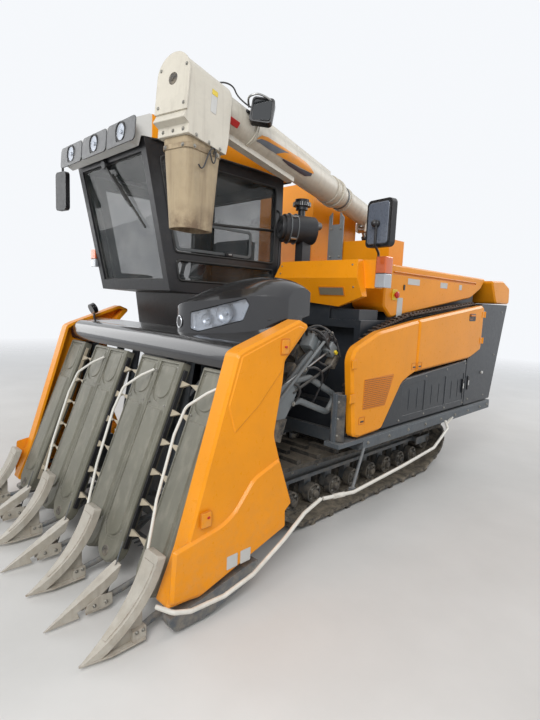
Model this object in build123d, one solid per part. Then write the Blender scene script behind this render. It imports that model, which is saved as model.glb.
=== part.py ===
from build123d import *
import math
import os

os.makedirs("parts", exist_ok=True)

# Frame: X to the machine's left, Y to the rear, Z up, millimetres, ground at Z = 0

# Driving dimensions of the body
RAIL_BOTTOM = 625
RAIL_TOP = 700
RAIL_X = (1010, 1060)
BODY_FRONT = -300
BODY_REAR = 1950
BODY_SIDE = 925
DECK_TOP = 1980
DOOR_X = (1010, 1075)
CAB_RIGHT = -950
CAB_LEFT = 60
WALL = 45

# Running gear
TRACK_INNER = 300
TRACK_OUTER = 800
BELT = 30
LUG_HEIGHT = 30
RIB_HEIGHT = 24
RIBS_X = ((445, 505), (595, 655))
LUG_LENGTH = 46
LUG_WIDTH = 270
LUG_STAGGER = 105
LUG_PITCH = 112
ROLLER_R = 78
SPROCKET_Y = -930
SPROCKET_Z = 360
SPROCKET_R = 136
SPROCKET_TEETH = 12
IDLER_Y = 1430
IDLER_Z = 300
IDLER_R = 140
ROLLERS_Y = (-660, -390, -120, 150, 420, 690, 945, 1190)
ROLLER_Z = LUG_HEIGHT + BELT + RIB_HEIGHT + ROLLER_R + 2

# Header pivot, lift cylinder and raising cases
PIVOT_Y = -820
PIVOT_Z = 1080
PIVOT_R = 45
LIFT_FOOT = (-480, 700)
LIFT_HEAD = (-1180, 770)
PIN_R = 13
HEADER_EYE_PLAY = 3.5
CASE_FOOT_Y = -2074
CASE_FOOT_Z = 143
CASE_LENGTH = 1232
CASE_LEAN = 21.4
CASE_DEPTH = 72
TINES = 6
TINE_PITCH = 178
LARGE_DIVIDERS_X = (1020, 340, -340, -1020)
SMALL_DIVIDERS_X = (680, 0, -680)

# Unloading auger
AUGER_X = -130
AUGER_Y = 1500
AUGER_Z = 2565
AUGER_YAW = 11.0
AUGER_RISE = 5.82
INNER_R = 104
OUTER_R = 115
LIFT_ARM_FOOT = (-180, 2150)
LIFT_ARM_HEAD = (-450, -152)
AUGER_PIN_R = 10
AUGER_EYE_PLAY = 12


def block(x0, x1, y0, y1, z0, z1):
    return Pos((x0 + x1) / 2, (y0 + y1) / 2, (z0 + z1) / 2) * Box(x1 - x0, y1 - y0, z1 - z0)


def rounded_face(points, radius):
    face = make_face(Polyline(*points, close=True))
    return fillet(face.vertices(), radius) if radius else face


def side_plane(x):
    return Plane(origin=(x, 0, 0), x_dir=(0, 1, 0), z_dir=(1, 0, 0))


def side_plate(points, x0, x1, radius=0):
    return extrude(side_plane(x0) * rounded_face(points, radius), amount=x1 - x0)


def front_plate(points, y0, y1, radius=0):
    plane = Plane(origin=(0, y1, 0), x_dir=(1, 0, 0), z_dir=(0, -1, 0))
    return extrude(plane * rounded_face(points, radius), amount=y1 - y0)


def flat_plate(points, z0, z1, radius=0):
    return extrude(Plane.XY.offset(z0) * rounded_face(points, radius), amount=z1 - z0)


def rounded_corner(before, corner, after, radius):
    """Start, middle and end of the arc that rounds one corner."""
    u = (before - corner).normalized()
    w = (after - corner).normalized()
    half = math.acos(u.dot(w)) / 2
    reach = radius / math.tan(half)
    middle = corner + (u + w).normalized() * (radius / math.sin(half) - radius)
    return corner + u * reach, middle, corner + w * reach


def shaped_face(points):
    """Face with straight runs and an arc at each corner (a, b, radius)."""
    corners = [Vector(a, b) for a, b, _ in points]
    rounds = []
    for i, (_, _, radius) in enumerate(points):
        after = corners[(i + 1) % len(corners)]
        rounds.append(rounded_corner(corners[i - 1], corners[i], after, radius))
    edges = []
    for (a, middle, b), (start, _, _) in zip(rounds, rounds[1:] + rounds[:1]):
        edges.append(ThreePointArc(a, middle, b))
        edges.append(Line(b, start))
    return make_face(edges)


def shaped_plate(points, x0, x1, bevel=0):
    face = shaped_face(points)
    base = extrude(side_plane(x0) * face, amount=x1 - bevel - x0)
    return base + extrude(side_plane(x1 - bevel) * face, amount=bevel, taper=45) if bevel else base


def bar(start, end, radius):
    a = Vector(*start)
    b = Vector(*end)
    plane = Plane(origin=a, z_dir=b - a)
    return plane * Cylinder(radius, (b - a).length, align=(Align.CENTER, Align.CENTER, Align.MIN))


def cross_bar(x0, x1, y, z, radius):
    return bar((x0, y, z), (x1, y, z), radius)


def pipe(points, radius, bend):
    """Round bar along straight runs with bends of one radius."""
    corners = [Vector(*point) for point in points]
    edges = []
    start = corners[0]
    for before, corner, after in zip(corners, corners[1:], corners[2:]):
        a, middle, b = rounded_corner(before, corner, after, bend)
        edges += [Line(start, a), ThreePointArc(a, middle, b)]
        start = b
    edges.append(Line(start, corners[-1]))
    profile = Plane(origin=corners[0], z_dir=corners[1] - corners[0]) * Circle(radius)
    return sweep(profile, path=Wire([edge.edge() for edge in edges]))


def mirrored(part):
    return mirror(part, about=Plane.YZ)


def union(parts):
    return parts[0] + parts[1:] if len(parts) > 1 else parts[0]


def group(*parts):
    solids = [solid for part in parts for solid in part.solids()]
    return Compound(children=solids)


def loop_touches(circles, offset):
    """Tangent runs of a belt round circles of (y, z, radius): start, end and outward normal."""
    touches = []
    for (y0, z0, r0), (y1, z1, r1) in zip(circles, circles[1:] + circles[:1]):
        length = math.hypot(y1 - y0, z1 - z0)
        dy, dz = (y1 - y0) / length, (z1 - z0) / length
        along = (r0 - r1) / length
        across = math.sqrt(1 - along * along)
        ny = dy * along + dz * across
        nz = dz * along - dy * across
        a = (y0 + (r0 + offset) * ny, z0 + (r0 + offset) * nz)
        b = (y1 + (r1 + offset) * ny, z1 + (r1 + offset) * nz)
        touches.append((a, b, (ny, nz)))
    return touches


def loop_face(circles, offset):
    touches = loop_touches(circles, offset)
    edges = []
    for i, (a, b, normal) in enumerate(touches):
        after, _, normal2 = touches[(i + 1) % len(circles)]
        cy, cz, r = circles[(i + 1) % len(circles)]
        my, mz = normal[0] + normal2[0], normal[1] + normal2[1]
        size = math.hypot(my, mz)
        middle = (cy + (r + offset) * my / size, cz + (r + offset) * mz / size)
        edges.append(Line(a, b))
        edges.append(ThreePointArc(b, middle, after))
    return make_face(edges)


def loop_band(circles, inner, outer, x0, x1):
    ring = loop_face(circles, outer) - loop_face(circles, inner)
    return extrude(side_plane(x0) * ring, amount=x1 - x0)


def loop_places(circles, offset, pitch):
    """Evenly spaced places along the belt: point and outward angle in degrees."""
    touches = loop_touches(circles, offset)
    pieces = []
    for i, (a, b, normal) in enumerate(touches):
        normal2 = touches[(i + 1) % len(circles)][2]
        cy, cz, r = circles[(i + 1) % len(circles)]
        start = math.atan2(normal[1], normal[0])
        turn = (math.atan2(normal2[1], normal2[0]) - start) % (2 * math.pi)
        pieces.append(("line", a, b, start, math.hypot(b[0] - a[0], b[1] - a[1])))
        pieces.append(("arc", (cy, cz), (r + offset, turn), start, (r + offset) * turn))
    total = sum(piece[4] for piece in pieces)
    number = round(total / pitch)
    places = []
    for k in range(number):
        s = k * total / number
        for kind, p, q, start, length in pieces:
            if s <= length:
                break
            s -= length
        t = s / length
        if kind == "line":
            places.append(((p[0] + (q[0] - p[0]) * t, p[1] + (q[1] - p[1]) * t), math.degrees(start)))
        else:
            angle = start + q[1] * t
            point = (p[0] + q[0] * math.cos(angle), p[1] + q[0] * math.sin(angle))
            places.append((point, math.degrees(angle)))
    return places


def cylinder_pair(foot, head, cross, barrel_r, rod_r, barrel_length, eye_r, width, pin_r, play):
    """Barrel with an eye at its foot, and rod with a wider eye at its head."""
    direction = (head - foot).normalized()

    def eye(centre, bore_r):
        half = cross * (width / 2)
        over = cross * (width / 2 + 5)
        ring = bar(tuple(centre - half), tuple(centre + half), eye_r)
        return ring, bar(tuple(centre - over), tuple(centre + over), bore_r)

    ring, bore = eye(foot, pin_r + 0.5)
    mouth = foot + direction * barrel_length
    hollow = bar(tuple(foot + direction * (eye_r + 30)), tuple(mouth + direction * 5), rod_r + 2)
    barrel = bar(tuple(foot + direction * (eye_r - 6)), tuple(mouth), barrel_r) + ring - bore - hollow
    ring, bore = eye(head, pin_r + play)
    rod = bar(tuple(foot + direction * (eye_r + 60)), tuple(head - direction * (eye_r - 8)), rod_r)
    return barrel, rod + ring - bore


pieces = {}

# Rubber crawler track: one belt loop with staggered lugs
track_circles = (
    (ROLLERS_Y[0], ROLLER_Z, ROLLER_R + RIB_HEIGHT + 2),
    (ROLLERS_Y[-1], ROLLER_Z, ROLLER_R + RIB_HEIGHT + 2),
    (IDLER_Y, IDLER_Z, IDLER_R),
    (SPROCKET_Y, SPROCKET_Z, SPROCKET_R),
)
LUG_SINK = 4
track_middle = (TRACK_INNER + TRACK_OUTER) / 2
lugs = []
for index, (point, angle) in enumerate(loop_places(track_circles, BELT, LUG_PITCH)):
    side = 1 if index % 2 else -1
    lug = Pos(0, 0, (LUG_HEIGHT - LUG_SINK) / 2) * Box(LUG_WIDTH, LUG_LENGTH, LUG_HEIGHT + LUG_SINK)
    lugs.append(Pos(track_middle + side * LUG_STAGGER, point[0], point[1]) * Rot(angle - 90, 0, 0) * lug)
ribs = [loop_band(track_circles, -RIB_HEIGHT, 3, *rib) for rib in RIBS_X]
track = loop_band(track_circles, 0, BELT, TRACK_INNER, TRACK_OUTER) + lugs + ribs
pieces["track_left"] = track
pieces["track_right"] = mirrored(track)

# Track frame with one arm round each roller's hub, and the idler's fork
HUB_R = 32
frame_bits = [block(505, 595, -790, 1240, 290, 400), block(470, 630, -740, 1200, 300, 330)]
roller_bits = []
for y in ROLLERS_Y:
    arm = block(522, 578, y - 42, y + 42, ROLLER_Z - 20, 300) + cross_bar(522, 578, y, ROLLER_Z, 42)
    frame_bits.append(arm - cross_bar(515, 585, y, ROLLER_Z, HUB_R + 0.5))
    roller = cross_bar(RIBS_X[0][0] - 5, RIBS_X[1][1] + 5, y, ROLLER_Z, HUB_R)
    for low, high in RIBS_X:
        roller = roller + cross_bar(low, high, y, ROLLER_Z, ROLLER_R)
    outer = RIBS_X[1][1]
    roller = roller - (cross_bar(outer - 14, outer + 1, y, ROLLER_Z, ROLLER_R - 14) - cross_bar(
        outer - 20, outer + 10, y, ROLLER_Z, 44))
    roller_bits.append(roller + cross_bar(outer, outer + 22, y, ROLLER_Z, 30))
for x in (412, 670):
    frame_bits.append(block(x, x + 18, 1200, 1470, 270, 345))
frame_bits.append(block(412, 688, 1200, 1240, 300, 345))
frame_bits.append(cross_bar(412, 688, IDLER_Y, IDLER_Z, 24))
for y in (-420, 380, 1120):
    frame_bits.append(block(220, 520, y - 40, y + 40, 320, 380))
    frame_bits.append(block(222, 262, y - 40, y + 40, 380, 600))
track_frame = union(frame_bits)
idler_r = IDLER_R - RIB_HEIGHT - 2
idler = cross_bar(445, 655, IDLER_Y, IDLER_Z, idler_r) - cross_bar(440, 660, IDLER_Y, IDLER_Z, 25)
dish = cross_bar(620, 660, IDLER_Y, IDLER_Z, idler_r - 22) - cross_bar(610, 660, IDLER_Y, IDLER_Z, 50)
roller_bits.append(idler - dish - Pos(-180, 0, 0) * dish)
rollers = group(*roller_bits)
pieces["track_rollers"] = group(rollers, mirrored(rollers))

# Gear case with the drive sprockets on its axle
sprocket_bits = [cross_bar(222, 640, SPROCKET_Y, SPROCKET_Z, 32)]
sprocket_bits.append(cross_bar(470, 640, SPROCKET_Y, SPROCKET_Z, 90))
sprocket_bits.append(cross_bar(520, 580, SPROCKET_Y, SPROCKET_Z, 118))
for k in range(SPROCKET_TEETH):
    turn = Rot(k * 360 / SPROCKET_TEETH, 0, 0)
    sprocket_bits.append(Pos(550, SPROCKET_Y, SPROCKET_Z) * turn * Pos(0, 0, 118) * Box(50, 26, 28))
sprocket = union(sprocket_bits)
gear_case = block(-190, 190, -1060, -700, 300, 555) + cross_bar(-230, 230, SPROCKET_Y, SPROCKET_Z, 85)
pieces["track_drive"] = union([gear_case, sprocket, mirrored(sprocket)])

# Chassis: rails, cross beams, header supports, side sill and rear tow plate
SUPPORT_X = (160, 210)
TOW_HOLE_R = 15
PLATE_BOLT_R = 3.5
support = side_plate(
    [(-960, 600), (-600, 600), (-745, 1080), (-745, 1140), (-895, 1140), (-895, 1080)], *SUPPORT_X, 20)
inner_rail = block(140, 260, -960, 2040, 560, 640)
outer_rail = block(*RAIL_X, -360, 2060, RAIL_BOTTOM, RAIL_TOP)
deck_rail = outer_rail + block(928, 1058, -660, 2060, 680, 712)
cross_members = []
for y in (-340, 380, 1120, 1980):
    cross_members.append(block(-RAIL_X[0], RAIL_X[0], y, y + 70, 600, RAIL_TOP) - deck_rail)
tow_plate = block(-60, 60, 2040, 2150, 620, 645) - bar((0, 2110, 600), (0, 2110, 660), TOW_HOLE_R)
plate_holder = block(-520, -300, 2049, 2055, 640, 760)
for x in (-492.5, -327.5):
    plate_holder = plate_holder - bar((x, 2040, 735), (x, 2060, 735), PLATE_BOLT_R)
cross_members[-1] = cross_members[-1] + tow_plate + plate_holder
crossing = union(cross_members)
lift_foot = block(-140, 140, -700, -600, 560, 640) + block(-75, 75, -620, -341, 570, 640)
lift_cheeks = []
for x in (-57, 42):
    cheek = side_plate([(-600, 620), (-380, 620), (-440, 745), (-520, 745)], x, x + 15, 12)
    lift_cheeks.append(cheek - lift_foot)
lift_pin = cross_bar(-41, 41, *LIFT_FOOT, PIN_R)
chassis_bits = [inner_rail - crossing, mirrored(inner_rail) - crossing, deck_rail, mirrored(outer_rail)]
chassis_bits += [*cross_members, lift_foot, *lift_cheeks, lift_pin]
chassis = union(chassis_bits)
track_frame = track_frame - chassis
support = support - chassis - track_frame - cross_bar(-300, 300, PIVOT_Y, PIVOT_Z, PIVOT_R + 0.6)
post = block(960, 1000, -640, -575, 700, 1060) - chassis
pipe_bracket = bar((1035, -300, 650), (1194, -668, 446), 11) + block(1178, 1209.6, -688, -648, 426, 458)
pipe_bracket = pipe_bracket - chassis - track_frame
pieces["chassis_frame"] = group(*chassis_bits, track_frame, mirrored(track_frame), support,
    mirrored(support), post,
                                pipe_bracket)

# Engine as one plain block in its open housing, with the cab base and the rear housing
pieces["engine_block"] = block(-860, -260, -180, 230, 760, 1330)
housing = block(-1030, -90, -262, 286, 705, 2000) - block(-1040, -150, -200, 240, 740, 1940)
housing = housing - block(-900, -200, -300, -190, 1200, 1900)
housing = housing + block(-850, -300, -170, 220, 735, 759)
base = block(-1000, -280, -960, -290, 701, 1149) + block(-1050, -900, -960, -480, 480, 510)
for y in (-960, -510):
    base = base + block(-1050, -1000, y, y + 30, 480, 1100)
pieces["lower_housings"] = group(housing, base, block(-1035, -345, 1345, 1900, 705, 1500))

# Feed chain along the left side, on circles of (y, z, radius), and the rail inside it
CHAIN_THICK = 14
chain_circles = ((-460, 1060, 30), (1580, 1691, 30), (310, 1568, 30), (-165, 1455, 30), (-340, 1365, 30))
chain_lugs = []
for point, angle in loop_places(chain_circles, CHAIN_THICK, 62):
    place = Pos(966, point[0], point[1]) * Rot(angle - 90, 0, 0)
    chain_lugs.append(place * Pos(0, 0, 6) * Box(44, 24, 18))
pieces["feed_chain"] = loop_band(chain_circles, 0, CHAIN_THICK, 948, 984) + chain_lugs
rail_circles = ((-440, 1072, 12), (1570, 1689, 12), (310, 1560, 12), (-155, 1446, 12), (-325, 1360, 12))
rail = extrude(side_plane(920) * loop_face(rail_circles, 0), amount=38)

# Threshing body with its upper deck, the rail of the feed chain and the rest for the auger
body = block(100, BODY_SIDE, BODY_FRONT, BODY_REAR, RAIL_TOP, 1560)
body = body + block(0, 110, -255, BODY_REAR, RAIL_TOP, 1560)
body = body + block(100, 630, BODY_FRONT, BODY_REAR, 1550, DECK_TOP)
body = body + block(0, 110, -255, BODY_REAR, 1550, DECK_TOP)
body = body + block(600, 880, 110, 1800, 1550, 1880)
body = body - block(300, 870, BODY_FRONT - 10, -180, 900, 1500)
tank_foot = block(120, 630, 500, 750, DECK_TOP, 2265)
side_box = block(640, 900, -290, -40, 1540, 1640) - body
rest_points = [(-10, 1970), (160, 1970), (160, 2480), (115, 2535), (115, 2420), (25, 2420), (25, 2535),
    (-10, 2500)]
rest = front_plate(rest_points, 440, 452) - body
pieces["threshing_body"] = group(body, rail - body, rest, tank_foot, side_box)

# Orange upper covers: front cover with the lamp bracket, and the rear cap
cover_side = side_plate([(-305, 2000), (-375, 1998), (-412, 1865), (-335, 1655), (-305, 1645)], 100, 980)
cover_front = front_plate([(120, 1865), (165, 2000), (920, 2000), (965, 1735), (735, 1655), (450, 1678)],
    -420, -304)
lamp_bracket = block(900, 1045, -312, -240, 1795, 2000)
rear_cap = shaped_plate(
    [(1975, 1985, 20), (2320, 1998, 80), (2515, 1935, 60), (2538, 1752, 30), (2140, 1745, 60)], 10, 1000, 15)
pieces["upper_covers"] = group((cover_side & cover_front) + lamp_bracket, rear_cap)

# Cylinder cover: a lid over the outer edge of the threshing unit
lid_outer = [
    (95, 1585, 30), (-22, 1670, 50), (-22, 1815, 110), (70, 2000, 40), (1950, 2000, 6), (1840, 1890, 30),
    (1610, 1790, 300),
]
lid_inner = [(80, 1500), (15, 1690), (15, 1805), (90, 1955), (1930, 1955), (1830, 1880), (1630, 1500)]
lid = shaped_plate(lid_outer, 640, 938, 12) - side_plate(lid_inner, 600, 905)
lid = lid - side_plate([(80, 1925), (80, 1937), (1700, 1937), (1700, 1925)], 931, 950)
for y in (300, 1500):
    lid = lid + bar((634, y, 2006), (634, y + 70, 2006), 7) + block(634, 660, y, y + 70, 1999, 2006)
pieces["cylinder_cover"] = lid

# Side covers of the threshing unit, both hinged doors, as (y, z, corner radius)
SIDE_HINGE_X = 1082
KNUCKLE_R = 6
front_door = [
    (-515, 748, 45), (-600, 1362, 120), (-260, 1487, 300), (318, 1570, 6), (318, 1145, 6), (232, 1122, 60),
    (105, 1072, 110), (-150, 742, 60), (-440, 730, 60),
]
rear_door = [(328, 1148, 6), (328, 1572, 6), (1640, 1722, 40), (1640, 1275, 45), (1400, 1205, 260)]


def side_hinge(y, lean, heights):
    """Knuckles on a vertical axis, each with a leaf that reaches the door."""
    bits = []
    for z in heights:
        bits.append(bar((SIDE_HINGE_X, y, z), (SIDE_HINGE_X, y, z + 60), KNUCKLE_R))
        near, far = sorted((y, y + lean))
        bits.append(block(SIDE_HINGE_X - 8, SIDE_HINGE_X - 2, near, far, z, z + 60))
    return bits


pieces["side_cover_front"] = union([shaped_plate(front_door, *DOOR_X, 18)]
    + side_hinge(-596, 60, (1000, 1240)))
pieces["side_cover_rear"] = union([shaped_plate(rear_door, *DOOR_X, 18)]
    + side_hinge(1650, -60, (1340, 1600)))

# Lower ribbed panel and the straw cutter behind it
panel = shaped_plate(
    [(-118, 727, 10), (118, 1052, 100), (240, 1100, 60), (1398, 1185, 8), (1398, 727, 8)], 930, 1045, 10)
for low, high in ((180, 560), (580, 960), (980, 1360)):
    panel = panel - shaped_plate([(low, 790, 20), (low, 1040, 20), (high, 1060, 20), (high, 790, 20)],
        1041, 1060)
cutter = side_plate([(1412, 727), (2080, 727), (2360, 1738), (1655, 1738), (1655, 1262), (1412, 1190)],
    932, 1042, 10)
cutter = cutter + side_plate([(1956, 727), (2080, 727), (2350, 1735), (1956, 1735)], 10, 935)
pieces["lower_panels"] = group(panel, cutter)

# Grain tank with a raised hood
tank = side_plate([(300, 702), (1330, 702), (1330, 1980), (1260, 2050), (300, 2050)], -1028, -20, 30)
hood_front = front_plate(
    [(-960, 2040), (-960, 2780), (-900, 2850), (-330, 2850), (-200, 2720), (-200, 2040)], 420, 1150)
hood_side = side_plate([(420, 2040), (420, 2850), (850, 2850), (1150, 2700), (1150, 2040)], -1000, -100)
pieces["grain_tank"] = tank + (hood_front & hood_side)

# Air cleaner and its intake dome
cleaner_start = Vector(178, -395, 2268)
cleaner_end = Vector(300, -165, 2262)
cleaner = bar(tuple(cleaner_start), tuple(cleaner_end), 112)
# Bands along the canister: start and end as shares of its length, radius
for low, high, radius in ((-0.09, 0.1, 95), (0.13, 0.18, 118), (0.36, 0.4, 118), (0.93, 1.04, 104)):
    along = cleaner_end - cleaner_start
    cleaner = cleaner + bar(tuple(cleaner_start + along * low), tuple(cleaner_start + along * high), radius)
cleaner = cleaner + block(220, 300, -280, -180, 1981, 2180)
intake = bar((74, -60, 1981), (74, -60, 2470), 32) + bar((74, -60, 2470), (74, -60, 2500), 52)
dome = Pos(74, -60, 0) * (bar((0, 0, 2500), (0, 0, 2535), 76) + bar((0, 0, 2530), (0, 0, 2560), 60))
pieces["air_cleaner"] = cleaner + intake + dome

# Cab shell with openings for the glass and the door
cab_outer = [(-1000, 1150), (-1080, 1702), (-1385, 1716), (-1600, 2690), (-290, 2690), (-270, 1150)]
cab_inner = [(-955, 1195), (-1035, 1745), (-1345, 1758), (-1545, 2645), (-335, 2645), (-315, 1195)]
left_upper = [(-1345, 1985), (-1480, 2600), (-370, 2600), (-370, 1985)]
left_lower = [(-1310, 1790), (-1335, 1930), (-370, 1930), (-370, 1790)]
door_hole = [(-925, 1225), (-1000, 1780), (-1300, 1780), (-1480, 2605), (-400, 2605), (-400, 1225)]
shell = side_plate(cab_outer, CAB_RIGHT, CAB_LEFT) - side_plate(cab_inner, CAB_RIGHT + WALL, CAB_LEFT - WALL)
shell = shell - side_plate([(-1320, 1790), (-1500, 2610), (-1700, 2610), (-1500, 1790)], CAB_RIGHT + 60,
    CAB_LEFT - 60)
shell = shell - side_plate(left_upper, 0, 80) - side_plate(left_lower, 0, 80)
shell = shell - side_plate(door_hole, CAB_RIGHT - 10, CAB_RIGHT + 60)
shell = shell - block(CAB_RIGHT + 90, CAB_LEFT - 90, -350, -250, 1900, 2560)
pieces["cab_shell"] = shell
glass_front = side_plate([(-1372, 1791), (-1555, 2609), (-1561, 2609), (-1378, 1791)], CAB_RIGHT + 61,
    CAB_LEFT - 61)
glass_left_upper = side_plate([(-1343, 1986), (-1478, 2599), (-371, 2599), (-371, 1986)], 35, 41)
glass_left_lower = side_plate([(-1309, 1791), (-1333, 1929), (-371, 1929), (-371, 1791)], 35, 41)
glass_rear = block(CAB_RIGHT + 91, CAB_LEFT - 91, -306, -300, 1901, 2559)
pieces["cab_glass"] = group(glass_front, glass_left_upper, glass_left_lower, glass_rear)

# Cab door on the right side with its pane
door_points = [(-917, 1233), (-993, 1788), (-1292, 1788), (-1470, 2597), (-408, 2597), (-408, 1233)]
door_window = [(-940, 1850), (-1240, 1850), (-1385, 2525), (-480, 2525), (-480, 1400), (-880, 1400)]
pane_points = [(-939, 1851), (-1239, 1851), (-1384, 2524), (-481, 2524), (-481, 1401), (-880, 1401)]
door = side_plate(door_points, CAB_RIGHT, CAB_RIGHT + WALL)
door = door - side_plate(door_window, CAB_RIGHT - 10, CAB_RIGHT + 60)
for z in (1420, 2420):
    door = door + bar((-959, -400, z), (-959, -400, z + 70), 6) + block(-960, -950, -440, -400, z, z + 70)
pieces["cab_door"] = door + block(CAB_RIGHT - 22, CAB_RIGHT, -930, -830, 1560, 1590)
pieces["cab_door_glass"] = side_plate(pane_points, CAB_RIGHT + 20, CAB_RIGHT + 26)

# Cab roof with a front fascia for the round lamps
ROOF_LAMPS_X = (-60, -445, -830)
ROOF_LAMP_Z = 2712
roof_plan = [
    (-1010, -170), (-1010, -1560), (-930, -1690), (20, -1690), (70, -1540), (70, -600), (20, -170),
]
roof_side = [
    (-1690, 2640), (-1700, 2770), (-1560, 2835), (-300, 2835), (-170, 2790), (-170, 2692), (-1610, 2692),
    (-1625, 2625),
]
roof = flat_plate(roof_plan, 2600, 2850) & side_plate(roof_side, -1100, 200)
for x in ROOF_LAMPS_X:
    roof = roof - bar((x, -1720, ROOF_LAMP_Z), (x, -1650, ROOF_LAMP_Z), 66)
pieces["cab_roof"] = roof

# Roof lamps and the marker lamp beside the front cover
roof_lamps = [bar((x, -1692, ROOF_LAMP_Z), (x, -1652, ROOF_LAMP_Z), 60) for x in ROOF_LAMPS_X]
marker_lamp = front_plate([(1046, 1800), (1120, 1815), (1120, 1990), (1100, 2015), (1046, 2015)], -335,
    -245, 12)
turn_lamp = block(-1030, -951, -1452, -1395, 1895, 2035)
pieces["lamps"] = group(*roof_lamps, marker_lamp, turn_lamp)

# Mirrors on their arms
left_glass = front_plate([(-118, -163), (118, -163), (118, 163), (-118, 163)], -24, 24, 36)
left_glass = left_glass + front_plate([(-102, -147), (102, -147), (102, 147), (-102, 147)], -30, -20, 28)
left_arm = pipe([(1020, -275, 2001), (1020, -275, 2045), (1040, -362, 2095), (1040, -362, 2235)], 9, 24)
left_arm = left_arm + Pos(1040, -352, 2240) * Sphere(23)
right_glass = front_plate([(-75, -150), (75, -150), (75, 150), (-75, 150)], -18, 18, 30)
right_arm = pipe([(-1011, -1500, 2755), (-1070, -1500, 2755), (-1110, -1648, 2740), (-1110, -1648, 2590)],
    9, 25)
left_mirror = Pos(1045, -310, 2245) * Rot(0, 0, -12) * left_glass + left_arm
pieces["mirrors"] = group(left_mirror, Pos(-1110, -1650, 2480) * Rot(0, 0, 8) * right_glass + right_arm)

# Seat and controls inside the cab
seat = block(-690, -210, -800, -330, 1450, 1570) + block(-680, -220, -430, -330, 1560, 2180)
seat = seat + block(-560, -340, -700, -450, 1196, 1455)
console = block(-890, -30, -985, -930, 1450, 1800) + block(-890, -720, -950, -420, 1196, 1700)
console = console + block(-890, -30, -948, -930, 1196, 1460)
console = console + bar((-440, -960, 1795), (-440, -920, 1960), 16) + Pos(-440, -918, 1970) * Sphere(32)
pieces["cab_interior"] = group(seat, console)

# Right side engine grille door
grille = block(-1062, -1034, -255, 278, 745, 1935)
for k in range(9):
    z = 800 + k * 120
    grille = grille - block(-1070, -1052, -215, 238, z, z + 84)
for z in (900, 1700):
    grille = grille + bar((-1066, 283, z), (-1066, 283, z + 70), 6) + block(-1066, -1060, 262, 283, z, z + 70)
pieces["engine_grille"] = grille

# Unloading auger: fixed column, swing elbow, tubes, end box and spout
auger_plane = Location((AUGER_X, AUGER_Y, AUGER_Z), (0, 0, AUGER_YAW)) * Location((0, 0, 0),
    (-AUGER_RISE, 0, 0))
swing_frame = Location((AUGER_X, AUGER_Y, 0), (0, 0, AUGER_YAW))
column = bar((AUGER_X, AUGER_Y, 640), (AUGER_X, AUGER_Y, 2000), OUTER_R)
pieces["auger_column"] = column + block(-330, -10, 1360, 1700, 640, 760)
elbow_bits = [bar((0, 0, 2004), (0, 0, 2386), OUTER_R + 8) - bar((0, 0, 1990), (0, 0, 2030), OUTER_R + 1)]
elbow_bits.append(block(-160, 160, -90, 90, 2330, 2388))
for side in (-1, 1):
    elbow_bits.append(Pos(side * 147, 0, 2485) * Box(26, 180, 310))
    elbow_bits.append(Pos(side * 52, -155, LIFT_ARM_FOOT[1]) * Box(16, 110, 90))
    elbow_bits.append(Pos(side * 140, 0, 0) * cross_bar(-20, 20, 0, AUGER_Z, 30))
elbow_bits.append(cross_bar(-60, 60, *LIFT_ARM_FOOT, AUGER_PIN_R))
pieces["auger_elbow"] = swing_frame * union(elbow_bits)
inner = bar((0, 130, 0), (0, -2500, 0), INNER_R) - bar((0, 70, 0), (0, -2600, 0), INNER_R - 8)
inner = inner + block(-112, 112, -95, 120, -110, 110)
inner = inner - cross_bar(-200, -90, 0, 0, 31) - cross_bar(90, 200, 0, 0, 31)
inner = inner + (bar((0, -980, 0), (0, -1010, 0), INNER_R + 9)
    - bar((0, -970, 0), (0, -1020, 0), INNER_R - 4))
for side in (-1, 1):
    inner = inner + Pos(side * 48, LIFT_ARM_HEAD[0], -138) * Box(16, 80, 84)
inner = inner + cross_bar(-56, 56, *LIFT_ARM_HEAD, AUGER_PIN_R)
pieces["auger_inner_tube"] = auger_plane * inner
outer = bar((0, -1180, 0), (0, -2880, 0), OUTER_R) + bar((0, -1180, 0), (0, -1215, 0), OUTER_R + 12)
outer = outer - bar((0, -1100, 0), (0, -2860, 0), INNER_R + 3)
outer = outer + bar((0, -1290, 0), (0, -1312, 0), OUTER_R + 7) + bar((0, -2560, 0), (0, -2582, 0), OUTER_R
    + 6)
outer = outer + block(-30, 30, -2480, -1330, OUTER_R - 8, OUTER_R + 30)
outer = outer + block(-34, 34, -2860, -1930, -OUTER_R - 30, -OUTER_R + 6)
outer = outer - bar((0, -1100, 0), (0, -2860, 0), INNER_R + 3)
BOX_HALF = 122
BOX_FRONT = -3232
box_side = [
    (-2860, -225, 6), (-2860, 118, 6), (-2960, 135, 40), (BOX_FRONT, 144, 6), (BOX_FRONT, -190, 6),
    (-3252, -232, 6),
    (-3206, -250, 4), (-3206, -302, 4), (-2872, -302, 4),
]
box_plane = Plane(origin=(0, -2840, 0), x_dir=(1, 0, 0), z_dir=(0, -1, 0))
arch = extrude(box_plane * (Pos(0, 20) * Circle(BOX_HALF) + Pos(0, -160) * Rectangle(2 * BOX_HALF, 360)),
    amount=430)
end_box = shaped_plate(box_side, -BOX_HALF, BOX_HALF) & arch
face_plane = Plane(origin=(0, BOX_FRONT, 0), x_dir=(1, 0, 0), z_dir=(0, -1, 0))
front_arch = Pos(0, 20) * Circle(BOX_HALF + 5) + Pos(0, -83) * Rectangle(2 * BOX_HALF + 10, 206)
end_box = end_box + extrude(face_plane * front_arch, amount=9)
end_box = end_box - bar((0, -3300, 0), (0, BOX_FRONT + 40, 0), 34) + bar((0, -3236, 0), (0, -3180, 0), 20)
pieces["auger_outer_tube"] = auger_plane * (outer + end_box)

# Flexible spout hanging straight down from the end box, open at its foot
SPOUT_Y = -3039
SPOUT_DROP = 490
SPOUT_WALL = 9
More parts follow.
